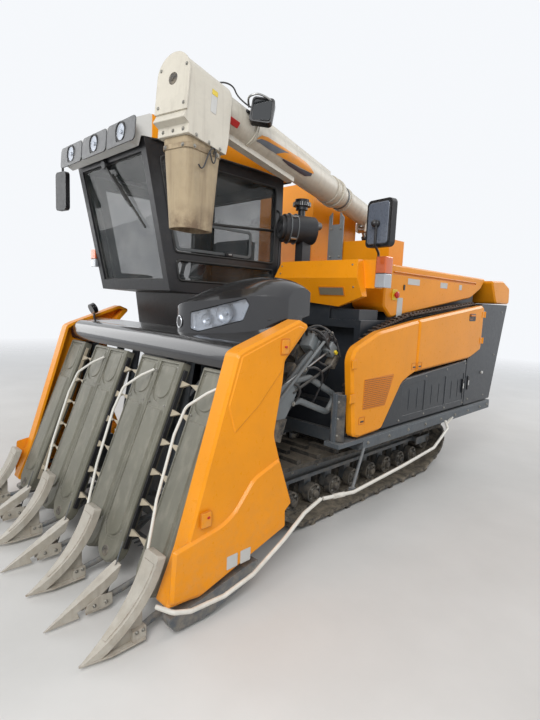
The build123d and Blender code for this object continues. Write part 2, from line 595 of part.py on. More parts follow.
# Rows: drop below the box, width across, length along, corner radius
spout_rows = ((0, 214, 300, 36), (180, 208, 292, 60), (SPOUT_DROP, 194, 272, 84))


def spout_solid(cut, extra):
    top = auger_plane * Pos(0, SPOUT_Y, -303)
    sections = []
    for row, (drop, across, along, corner) in enumerate(spout_rows):
        place = Location(top.position - Vector(0, 0, drop + (extra if drop == SPOUT_DROP else 0)),
            (0, 0, AUGER_YAW))
        size = RectangleRounded(across - 2 * cut, along - 2 * cut, corner - cut)
        sections.append((top if row == 0 else place) * size)
    return loft(sections)


spout_hollow = spout_solid(SPOUT_WALL, 6) & Pos(0, 0, 2000) * Box(6000, 6000, 1060)
pieces["auger_spout"] = spout_solid(0, 0) - spout_hollow

# Work lamp on the side of the outer tube
lamp_body = front_plate([(-74, -84), (74, -84), (74, 84), (-74, 84)], -34, 22, 26)
lamp_body = lamp_body + front_plate([(-52, -62), (52, -62), (52, 62), (-52, 62)], 20, 52, 20)
lamp_body = lamp_body - front_plate([(-64, -74), (64, -74), (64, 74), (-64, 74)], -40, -26, 20)
lamp_stand = bar((115.5, -2700, 46.6), (115.5, -2615, 46.6), 9) + bar((119, -2655, 48), (172, -2610, 52), 8)
lamp_head = Pos(182, -2622, 56) * Rot(-8, 0, 30) * lamp_body - bar((0, -2500, 0), (0, -2760, 0), OUTER_R + 8)
pieces["work_lamp"] = auger_plane * (lamp_head + lamp_stand)

# Lift cylinder of the auger, between the elbow and the inner tube
arm_foot = (swing_frame * Pos(0, *LIFT_ARM_FOOT)).position
arm_head = (auger_plane * Pos(0, *LIFT_ARM_HEAD)).position
auger_cross = Vector(math.cos(math.radians(AUGER_YAW)), math.sin(math.radians(AUGER_YAW)), 0)
arm_span = (arm_head - arm_foot).length
barrel, rod = cylinder_pair(
    arm_foot, arm_head, auger_cross, 32, 16, arm_span - 90, 34, 70, AUGER_PIN_R, AUGER_EYE_PLAY)
pieces["auger_cylinder"] = barrel
pieces["auger_rod"] = rod

# Header frame: pivot pipe with lift arms, beams, side plates, drive tubes, knife bar and skids
arms = [cross_bar(-232, 232, PIVOT_Y, PIVOT_Z, PIVOT_R), cross_bar(-100, 100, *LIFT_HEAD, PIN_R)]
arm_points = [(-862, 1118), (-790, 1040), (-1560, 250), (-1680, 250), (-1680, 360)]
for x in (-125, 75):
    arms.append(side_plate(arm_points, x, x + 50, 14))
    arms.append(cross_bar(x, x + 50, PIVOT_Y, PIVOT_Z, PIVOT_R + 15))
for x in (-100, 60):
    arms.append(side_plate([(-1230, 700), (-1140, 700), (-1140, 850), (-1230, 850)], x, x + 40))
beams = block(-1010, 1010, -1690, -1580, 255, 355) + block(-1005, 1005, -1500, -1420, 1290, 1370)
frame_pieces = [union(arms) - beams, beams]
for x in (-1005, 955):
    plate = side_plate([(-1690, 340), (-1590, 340), (-1410, 1310), (-1500, 1310)], x, x + 50)
    frame_pieces.append(plate - beams)
for x in (895, 458, 222, -222, -458, -895):
    frame_pieces.append(bar((x, -1650, 320), (x, -1916, 320), 15) - beams)
    drive = bar((x, -1640, 340), (x, -1470, 1310), 28)
    frame_pieces.append(drive + Pos(x, -1610, 540) * Rot(-10, 0, 0) * Box(110, 66, 150) - beams)
KNIFE_TEETH = 40
knife = [block(-1000, 1000, -1740, -1700, 92, 112)]
for k in range(KNIFE_TEETH):
    x = -975 + 50 * k
    knife.append(flat_plate([(x - 14, -1705), (x + 14, -1705), (x, -1795)], 94, 104))
for x in (-850, -170, 170, 850):
    knife.append(block(x - 20, x + 20, -1720, -1660, 100, 270))
knife_bar = union(knife) - beams
frame_pieces.append(knife_bar)
skid_points = [
    (-2060, 108, 20), (-2010, 28, 40), (-1800, 22, 120), (-1560, 80, 120), (-1440, 200, 6), (-1500, 200, 6),
    (-1860, 130, 100),
]
skid = shaped_plate(skid_points, 1052, 1112) + block(975, 1060, -1640, -1600, 110, 150)
skid = skid + block(975, 1005, -1640, -1600, 110, 270) - beams
frame_pieces += [skid, mirrored(skid)]

# Divider pipes from the lower beam to the ground, with the thin rod of each arrow divider
for x in LARGE_DIVIDERS_X + SMALL_DIVIDERS_X:
    inside = max(-998, min(998, x))
    route = [(inside, -1640, 290), (inside, -1880, 120), (inside, -2060, 78), (x, -2170, 62)]
    divider_pipe = pipe(route, 17, 60)
    if x in SMALL_DIVIDERS_X:
        divider_pipe = divider_pipe + bar((x, -2158, 66), (x, -2058, 345), 4)
    frame_pieces.append(divider_pipe - beams - knife_bar)
pieces["header_frame"] = group(*frame_pieces)

# Lift cylinder of the header
foot = Vector(0, *LIFT_FOOT)
head = Vector(0, *LIFT_HEAD)
barrel, rod = cylinder_pair(foot, head, Vector(1, 0, 0), 36, 20, 560, 28, 70, PIN_R, HEADER_EYE_PLAY)
pieces["header_cylinder"] = barrel
pieces["header_rod"] = rod

# Raising cases leaning back from the ground, each with a tine chain on its crop side
# Columns: low x, high x, side of the case that faces its crop gap
CASES = ((780, 1010, -1), (340, 575, 1), (105, 340, -1), (-340, -105, 1), (-575, -340, -1), (-1010, -780, 1))
case_plane = Location((0, CASE_FOOT_Y, CASE_FOOT_Z), (-CASE_LEAN, 0, 0))
CASE_BEVEL = 14
# Sunk fields: inset from the edge, low end, high end, depth
CASE_FIELDS = ((20, 130, 1212, 5), (20, 960, 1212, 11))
# Raised ridges: inset from the edge, low end, high end, level of the base, rise
CASE_RIDGES = ((38, 150, 925, 6, 13), (42, 985, 1195, 12, 8))
case_bits = []
chain_bits = []


def stadium(middle, half, low, high):
    """Upright strip with a round foot, on the case's own plane."""
    foot = Pos(middle, low + half) * Circle(half)
    return foot + Pos(middle, (low + half + high) / 2) * Rectangle(2 * half, high - low - half)


for x0, x1, gap in CASES:
    middle = (x0 + x1) / 2
    half = (x1 - x0) / 2
    outline = stadium(middle, half, 0, CASE_LENGTH)
    plate = Pos(0, CASE_DEPTH, 0) * extrude(Plane.XZ * outline, amount=CASE_DEPTH - CASE_BEVEL)
    plate = plate + Pos(0, CASE_BEVEL, 0) * extrude(Plane.XZ * outline, amount=CASE_BEVEL, taper=40)
    for inset, low, high, depth in CASE_FIELDS:
        field = stadium(middle, half - inset, low, high)
        plate = plate - Pos(0, depth, 0) * extrude(Plane.XZ * field, amount=depth + 10)
    for inset, low, high, base, rise in CASE_RIDGES:
        ridge = stadium(middle, half - inset, low, high)
        plate = plate + Pos(0, base, 0) * extrude(Plane.XZ * ridge, amount=rise, taper=32)
    plate = plate - bar((middle, -20, 60), (middle, 100, 60), 13)
    case_bits.append(case_plane * plate)
    edge = x0 if gap < 0 else x1
    near, far = sorted((edge + gap, edge + gap * 16))
    tines = [block(near, far, 26, 52, 120, 1190)]
    for k in range(TINES):
        z = 190 + TINE_PITCH * k
        tine = Polyline((edge + gap * 8, z), (edge + gap * 105, z + 34), (edge + gap * 8, z + 46), close=True)
        tines.append(Pos(0, 47, 0) * extrude(Plane.XZ * make_face(tine), amount=16))
    chain_bits.append(case_plane * union(tines))
pieces["raising_cases"] = group(*case_bits)
pieces["tine_chains"] = group(*chain_bits)

# White guide rods from the dividers to the case tops, and the side guide pipe
GUIDE_RODS_X = (1020, 340, -340)
rods = []
for x in GUIDE_RODS_X:
    rods.append(pipe([
        (x - 5, -2150, 232), (x - 120, -1990, 640), (x - 160, -1865, 950), (x - 150, -1800, 1095),
        (x - 60, -1728, 1177), (x - 8, -1664, 1217)], 8, 60))
side_rod = bar((1016, -1966, 243), (1016, -1634, 1194), 5)
rods.append(side_rod + block(1010.2, 1017, -1660, -1638, 1140, 1160)
    + block(1010.2, 1017, -1957, -1935, 290, 310))
front_pipe = pipe([
    (1094, -2106, 200), (1185, -2070, 200), (1200, -1980, 175), (1200, -1770, 162), (1200, -1570, 200),
    (1200, -1330, 320), (1190, -1150, 420), (1172, -975, 454)], 12, 30)
pieces["guide_rods"] = group(*rods, front_pipe)
pieces["guide_pipe_rear"] = pipe([
    (1176, -955, 452), (1222, -690, 440), (1225, -60, 480), (1190, 520, 500), (1130, 900, 590),
    (1078, 960, 640)], 12, 45)

# Large curved dividers: a sheet horn on an arc round (y, z), with flanges, foot plate, web and socket
HORN_CENTRE = (-2728, 640)
HORN_R = 673
HORN_DEPTH = 42
HORN_SHEET = 7
HORN_ANGLES = (-65.5, -17.3)
SOCKET_R = 17.6


def ring_sector(r0, r1, a0, a1):
    def point(radius, angle):
        turn = math.radians(angle)
        return HORN_CENTRE[0] + radius * math.cos(turn), HORN_CENTRE[1] + radius * math.sin(turn)

    middle = (a0 + a1) / 2
    return make_face([
        ThreePointArc(point(r0, a0), point(r0, middle), point(r0, a1)), Line(point(r0, a1), point(r1, a1)),
        ThreePointArc(point(r1, a1), point(r1, middle), point(r1, a0)), Line(point(r1, a0), point(r0, a0)),
    ])


def horn_plan(inset, low, high):
    """Prism over the horn's outline seen from above, widening from the tip."""
    halves = ((3, -2458), (27, -2330), (48, -2190), (60, -2085), (60, -2020))
    left = [(max(1, half - inset), y) for half, y in halves]
    right = [(-x, y) for x, y in left]
    face = make_face([Spline(*left), Line(left[-1], right[-1]), Spline(*reversed(right)),
        Line(right[0], left[0])])
    return extrude(Plane.XY.offset(low) * face, amount=high - low)


def horn_band(r0, r1, a0, a1, inset):
    return extrude(side_plane(-90) * ring_sector(r0, r1, a0, a1), amount=180) & horn_plan(inset, -60, 520)


horn = horn_band(HORN_R, HORN_R + HORN_DEPTH, *HORN_ANGLES, 0)
horn = horn & front_plate([(-62, -200), (62, -200), (62, 444), (-62, 444)], -2460, -1990, 34)
horn = horn - horn_band(HORN_R + HORN_SHEET, HORN_R + 80, -58, HORN_ANGLES[1] - 1.2, HORN_SHEET)
horn = horn + horn_band(HORN_R - 4, HORN_R + 2, -54, -21, 16)
horn = horn & block(-90, 90, -2500, -1900, 24, 520)
horn = horn + flat_plate([(-3, -2449), (3, -2449), (36, -2310), (36, -2135), (-36, -2135), (-36, -2310)],
    24, 33)
horn = horn + side_plate([(-2390, 28), (-2140, 28), (-2140, 238), (-2250, 130), (-2330, 62)], -5, 5)
horn = horn + block(-26, 26, -2200, -2128, 30, 88)

# Small arrow dividers of folded sheet
arrow_points = [(-2478, 17), (-2085, 238), (-2110, 170), (-2215, 100), (-2150, 62), (-2150, 34)]
arrow_plan = [(-3, -2485), (3, -2485), (34, -2180), (34, -2070), (-34, -2070), (-34, -2180)]
arrow = side_plate(arrow_points, -40, 40) & flat_plate(arrow_plan, 0, 300)
arrow = arrow - side_plate([(-2320, 60), (-2150, 120), (-2040, 240), (-1960, 250), (-1960, 0),
    (-2300, 0)], -24, 24)
arrow = arrow + block(-26, 26, -2205, -2140, 34, 88)
arrow = arrow - bar((0, -2165, 46), (0, -2040, 395), 5)
dividers = []
for x in LARGE_DIVIDERS_X + SMALL_DIVIDERS_X:
    inside = max(-998, min(998, x))
    divider = Pos(x, 0, 0) * (horn if x in LARGE_DIVIDERS_X else arrow)
    divider = divider - bar((x, -2172, 61.7), (x + (inside - x) * 1.1, -2049, 79.6), SOCKET_R)
    if x in GUIDE_RODS_X:
        divider = divider - bar((x - 2.7, -2153.2, 223.8), (x - 120, -1990, 640), 8.6)
    dividers.append(divider)
pieces["dividers"] = group(*dividers)

# Side covers of the header: dished sheet with a raised lower field
cover_outline = [
    (-2070, 172, 20), (-1962, 430, 60), (-1664, 1400, 45), (-1610, 1426, 60), (-1195, 1575, 30),
    (-1105, 1540, 18),
    (-1302, 1340, 40), (-1312, 1220, 80), (-1364, 925, 120), (-1312, 780, 60), (-1185, 470, 18),
    (-1238, 452, 8),
    (-1236, 330, 20), (-1860, 150, 60), (-1925, 160, 40),
]
cover_hollow = [
    (-2040, 200), (-1940, 430), (-1648, 1378), (-1605, 1405), (-1200, 1548), (-1160, 1535), (-1318, 1360),
    (-1330, 1230), (-1380, 930), (-1330, 775), (-1215, 490), (-1258, 462), (-1256, 345), (-1850, 172),
    (-1920, 190),
]
cover = shaped_plate(cover_outline, 1022, 1122, 14) - side_plate(cover_hollow, 1010, 1106)
cover_field = [
    (-2036, 462, 16), (-1690, 522, 260), (-1530, 712, 160), (-1325, 785, 30), (-1205, 482, 18),
    (-1255, 445, 6),
    (-1250, 345, 18), (-1858, 170, 60), (-1925, 180, 40), (-2052, 190, 16),
]
cover = cover + extrude(side_plane(1118) * shaped_face(cover_field), amount=20, taper=35)
crease = [(-1672, 980), (-1722, 1135), (-1640, 1388), (-1600, 1404), (-1205, 1548), (-1150, 1528),
    (-1320, 1346),
          (-1330, 1290), (-1500, 1110)]
cover = cover + extrude(side_plane(1118) * rounded_face(crease, 6), amount=9, taper=45)
pieces["header_covers"] = group(cover, mirrored(cover))

# Top of the header: rounded bar, deck, small round mirror and the hood, with the headlight flush in it
bar_profile = [
    Line((-1560, 1294), (-1622, 1300)), ThreePointArc((-1622, 1300), (-1612, 1404), (-1525, 1448)),
    Line((-1525, 1448), (-1400, 1472)), Polyline((-1400, 1472), (-1400, 1440), (-1510, 1400), (-1560, 1294)),
]
top_bar = extrude(side_plane(-1012) * make_face(bar_profile), amount=2024)
deck = side_plate([(-1415, 1436), (-1415, 1468), (-1100, 1590), (-1060, 1590), (-1060, 1556),
    (-1100, 1556)], 95, 1012)
round_mirror = bar((-1000, -1440, 1440), (-1000, -1440, 1520), 9)
round_mirror = round_mirror + bar((-1014, -1460, 1535), (-1014, -1428, 1550), 46)

# Hood sections from right to left as (x, front y, base z, front top z, crown y, crown z, back y, back top z)
hood_rows = (
    (290, -1462, 1462, 1590, -1290, 1640, -1062, 1605),
    (385, -1514, 1436, 1634, -1300, 1712, -1030, 1690),
    (600, -1452, 1436, 1662, -1240, 1792, -985, 1762),
    (850, -1362, 1480, 1696, -1150, 1818, -968, 1780),
    (1010, -1185, 1545, 1690, -1085, 1762, -990, 1735),
)
hood_sections = []
for x, front, base, front_top, crown_y, crown_z, back, back_top in hood_rows:
    low = base + (back - front) * 0.26
    hood_sections.append(side_plane(x) * make_face([
        Line((front, base), (front, front_top)),
        ThreePointArc((front, front_top), (crown_y, crown_z), (back, back_top)),
        Line((back, back_top), (back, low)), Line((back, low), (front, base)),
    ]))
hood = loft(hood_sections)
lens_plane = Plane(origin=(470, -1493, 0), x_dir=(0.958, 0.287, 0), z_dir=(0.287, -0.958, 0))
lens_points = [(4, 1484, 14), (2, 1580, 14), (384, 1680, 10), (408, 1646, 10), (372, 1556, 24),
    (60, 1470, 20)]
recess_points = [(0, 1479, 16), (-2, 1584, 16), (387, 1686, 12), (413, 1646, 12), (375, 1552, 26),
    (59, 1465, 22)]
lens = extrude(lens_plane.offset(-70) * shaped_face(lens_points), amount=170) & hood
recess = extrude(lens_plane.offset(-73) * shaped_face(recess_points), amount=190)
pieces["header_top"] = union([top_bar, deck, round_mirror, hood - recess])
pieces["headlight"] = lens

# Crop conveyor behind the cases with the grey links beside it
conveyor_bits = [side_plate([(-1400, 560), (-1340, 500), (-660, 1270), (-640, 1360), (-720, 1370)], 700,
    800, 25)]
conveyor_bits.append(block(690, 954, -1550, -1340, 500, 580))
conveyor_bits.append(block(780, 900, -1215, -1165, 740, 1050))
conveyor_bits.append(pipe([
    (880, -1180, 1015), (880, -890, 1020), (880, -585, 900), (880, -495, 1010), (880, -800, 1170),
    (880, -1010, 1160)],
    22, 48))
conveyor_bits.append(bar((880, -1180, 1010), (880, -650, 1480), 18))
pieces["crop_conveyor"] = union(conveyor_bits)

for name, part in pieces.items():
    export_step(part, os.path.join("parts", name + ".step"))
print(len(pieces), "pieces written")
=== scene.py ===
import math
import random

import bmesh
import bpy
from mathutils import Matrix, Vector
from mathutils.bvhtree import BVHTree


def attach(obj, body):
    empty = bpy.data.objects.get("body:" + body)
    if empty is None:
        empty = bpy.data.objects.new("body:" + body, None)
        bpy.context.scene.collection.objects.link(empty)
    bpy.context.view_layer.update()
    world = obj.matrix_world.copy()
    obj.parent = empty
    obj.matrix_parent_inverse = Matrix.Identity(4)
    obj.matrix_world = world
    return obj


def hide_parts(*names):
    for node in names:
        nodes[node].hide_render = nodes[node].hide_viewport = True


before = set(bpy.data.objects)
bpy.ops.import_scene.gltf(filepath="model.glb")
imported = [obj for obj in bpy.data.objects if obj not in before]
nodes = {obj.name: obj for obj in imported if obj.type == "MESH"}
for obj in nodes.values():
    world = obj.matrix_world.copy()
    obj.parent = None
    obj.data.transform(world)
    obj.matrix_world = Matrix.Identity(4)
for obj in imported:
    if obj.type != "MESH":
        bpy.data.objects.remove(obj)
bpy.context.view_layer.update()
random.seed(7)

# Camera of the photograph: place in metres, angles in degrees, lens for a 36 mm high sensor
CAMERA_AT = (2.9173, -3.2514, 1.6785)
CAMERA_YAW = 44.64
CAMERA_DOWN = 7.18
CAMERA_ROLL = 2.53
SENSOR = 36.0
FOCAL_PIXELS = 472.97
PHOTO_HEIGHT = 720

# Colours
ORANGE = (0.86, 0.31, 0.008)
# Darker copy of the orange paint: painted shade for recesses, creases and rims
ORANGE_SHADED = (0.66, 0.2, 0.006)
IVORY = (0.62, 0.58, 0.49)
TAN = (0.42, 0.33, 0.21)
BROWN_STAIN = (0.1, 0.055, 0.03)
CASE_GREY = (0.155, 0.15, 0.115)
DIVIDER = (0.46, 0.43, 0.37)
TINE = (0.43, 0.37, 0.27)
PIPE_WHITE = (0.7, 0.68, 0.62)
BLACK = (0.012, 0.012, 0.014)
PANEL_BLACK = (0.02, 0.024, 0.03)
FRAME_GREY = (0.085, 0.1, 0.115)
LINK_GREY = (0.17, 0.19, 0.2)
CAST = (0.05, 0.05, 0.05)
RUBBER = (0.018, 0.018, 0.018)
RUST = (0.17, 0.075, 0.035)
STEEL = (0.42, 0.42, 0.41)
CAB_WHITE = (0.62, 0.62, 0.6)
DUST = (0.33, 0.28, 0.21)
PALE_DUST = (0.5, 0.47, 0.42)
AMBER = (0.78, 0.13, 0.005)


class Nodes:
    """A new material and short helpers that add nodes to it."""

    def __init__(self, name):
        self.material = bpy.data.materials.new(name)
        self.material.use_nodes = True
        self.tree = self.material.node_tree
        self.coords = self.add("ShaderNodeTexCoord").outputs["Object"]
        self.shader = self.tree.nodes["Principled BSDF"]

    def add(self, kind, **settings):
        node = self.tree.nodes.new(kind)
        for key, value in settings.items():
            setattr(node, key, value)
        return node

    def feed(self, socket, value):
        if isinstance(value, bpy.types.NodeSocket):
            self.tree.links.new(value, socket)
        elif isinstance(value, tuple) and len(value) == 3 and socket.type == "RGBA":
            socket.default_value = (*value, 1.0)
        else:
            socket.default_value = value

    def shade(self, name, value):
        self.feed(self.shader.inputs[name], value)

    def cover(self, tone, color, mask, amount):
        """The tone with a colour laid over it where the mask is."""
        return self.mix(self.math("MULTIPLY", mask, amount), tone, color)

    def noise(self, scale, detail=4.0, rough=0.6, stretch=(1, 1, 1)):
        mapping = self.add("ShaderNodeMapping")
        self.feed(mapping.inputs["Vector"], self.coords)
        mapping.inputs["Scale"].default_value = stretch
        node = self.add("ShaderNodeTexNoise")
        self.feed(node.inputs["Vector"], mapping.outputs[0])
        self.feed(node.inputs["Scale"], float(scale))
        self.feed(node.inputs["Detail"], float(detail))
        self.feed(node.inputs["Roughness"], float(rough))
        return node.outputs["Fac"]

    def span(self, value, low, high, out_low=0.0, out_high=1.0):
        node = self.add("ShaderNodeMapRange")
        for name, number in zip(("Value", "From Min", "From Max", "To Min", "To Max"),
                                (value, low, high, out_low, out_high)):
            self.feed(node.inputs[name], number)
        return node.outputs[0]

    def math(self, operation, a, b=0.0):
        node = self.add("ShaderNodeMath", operation=operation, use_clamp=operation in ("ADD", "MULTIPLY"))
        self.feed(node.inputs[0], a)
        self.feed(node.inputs[1], b)
        return node.outputs[0]

    def mix(self, share, a, b):
        node = self.add("ShaderNodeMix", data_type="RGBA")
        self.feed(node.inputs["Factor"], share)
        self.feed(node.inputs["A"], a)
        self.feed(node.inputs["B"], b)
        return node.outputs["Result"]

    def axis(self, letter):
        node = self.add("ShaderNodeSeparateXYZ")
        self.feed(node.inputs[0], self.coords)
        return node.outputs[letter]

    def upward(self, low=0.25, high=0.95):
        geometry = self.add("ShaderNodeNewGeometry")
        split = self.add("ShaderNodeSeparateXYZ")
        self.feed(split.inputs[0], geometry.outputs["Normal"])
        return self.span(split.outputs["Z"], low, high)

    def edges(self, radius):
        """1 on convex edges of about that radius."""
        bevel = self.add("ShaderNodeBevel", samples=4)
        self.feed(bevel.inputs["Radius"], radius)
        geometry = self.add("ShaderNodeNewGeometry")
        dot = self.add("ShaderNodeVectorMath", operation="DOT_PRODUCT")
        self.feed(dot.inputs[0], bevel.outputs[0])
        self.feed(dot.inputs[1], geometry.outputs["Normal"])
        return self.span(dot.outputs["Value"], 0.985, 0.8), bevel.outputs[0]

    def bump(self, height, strength, distance, normal=None):
        node = self.add("ShaderNodeBump")
        self.feed(node.inputs["Strength"], strength)
        self.feed(node.inputs["Distance"], distance)
        self.feed(node.inputs["Height"], height)
        if normal is not None:
            self.feed(node.inputs["Normal"], normal)
        return node.outputs[0]


def worn_finish(name, color, rough, variation=0.12, dust=0.35, dust_color=PALE_DUST, grime=0.2, wear=0.0,
                wear_color=STEEL, metallic=0.0, coat=0.0, grain=0.0, grain_scale=900.0, low_mud=0.0,
                streaks=0.0, streak_color=BROWN_STAIN, edge=0.004, foot_stain=None, front=None, shine=0.5):
    """Painted, moulded or bare surface with clouded colour, dust, grime, worn edges and grain."""
    n = Nodes(name)
    cloud = n.span(n.noise(2.3, 6, 0.65), 0.3, 0.7)
    dark = tuple(c * (1 - variation) for c in color)
    light = tuple(min(1.0, c * (1 + variation)) for c in color)
    tone = n.mix(cloud, dark, light)
    if front:
        tone = n.mix(n.span(n.axis("Y"), front[0] - 0.002, front[0] + 0.002), front[1], tone)
    fine = n.noise(38, 5, 0.7)
    if grime:
        patch = n.span(n.noise(5.5, 8, 0.75), 0.5, 0.78)
        tone = n.cover(tone, tuple(c * 0.35 for c in dust_color), patch, grime)
    if streaks:
        run = n.noise(9, 4, 0.6, (2.2, 2.2, 0.16))
        tone = n.cover(tone, streak_color, n.span(run, 0.5, 0.72), streaks)
    if dust:
        settled = n.math("MULTIPLY", n.upward(), n.span(fine, 0.3, 0.75, 0.35, 1.0))
        tone = n.cover(tone, dust_color, settled, dust)
    if low_mud:
        height = n.span(n.axis("Z"), 0.75, 0.05)
        spots = n.math("MULTIPLY", height, n.span(n.noise(14, 8, 0.7), 0.4, 0.62))
        tone = n.cover(tone, DUST, spots, low_mud)
    if foot_stain:
        height = n.span(n.axis("Z"), *foot_stain)
        blots = n.math("MULTIPLY", height, n.span(n.noise(7, 7, 0.7), 0.36, 0.6))
        tone = n.cover(tone, streak_color, blots, 0.75)
    edge_mask, rounded = n.edges(edge)
    if wear:
        chips = n.math("MULTIPLY", edge_mask, n.span(n.noise(60, 4, 0.7), 0.42, 0.6))
        tone = n.cover(tone, wear_color, chips, wear)
    n.shade("Base Color", tone)
    n.shade("Roughness", n.span(fine, 0.25, 0.75, rough * 0.8, min(1.0, rough * 1.25)))
    n.shade("Metallic", metallic)
    n.shade("Coat Weight", coat)
    n.shade("Specular IOR Level", shine)
    height = n.noise(grain_scale if grain else 55, 3, 0.6)
    n.shade("Normal", n.bump(height, 0.5 if grain else 0.12, 0.0006 if grain else 0.0004, rounded))
    return n.material


def glass_finish(name, tint, alpha, rough=0.04):
    n = Nodes(name)
    film = n.span(n.noise(3.5, 4, 0.5), 0.35, 0.85, alpha, min(1.0, alpha + 0.12))
    n.shade("Base Color", n.mix(n.span(n.noise(6, 4, 0.5), 0.4, 1.0, 0.0, 0.35), tint, PALE_DUST))
    n.shade("Alpha", film)
    n.shade("Roughness", rough)
    n.shade("IOR", 1.5)
    return n.material


def lens_finish(name, tint):
    """Ribbed lamp lens over a bright reflector."""
    n = Nodes(name)
    wave = n.add("ShaderNodeTexWave", wave_type="BANDS", bands_direction="X")
    n.feed(wave.inputs["Vector"], n.coords)
    wave.inputs["Scale"].default_value = 45.0
    n.shade("Base Color", n.mix(wave.outputs["Fac"], tuple(c * 0.55 for c in tint), tint))
    n.shade("Roughness", 0.08)
    n.shade("Metallic", 0.35)
    n.shade("Coat Weight", 1.0)
    n.shade("Normal", n.bump(wave.outputs["Fac"], 0.35, 0.002))
    return n.material


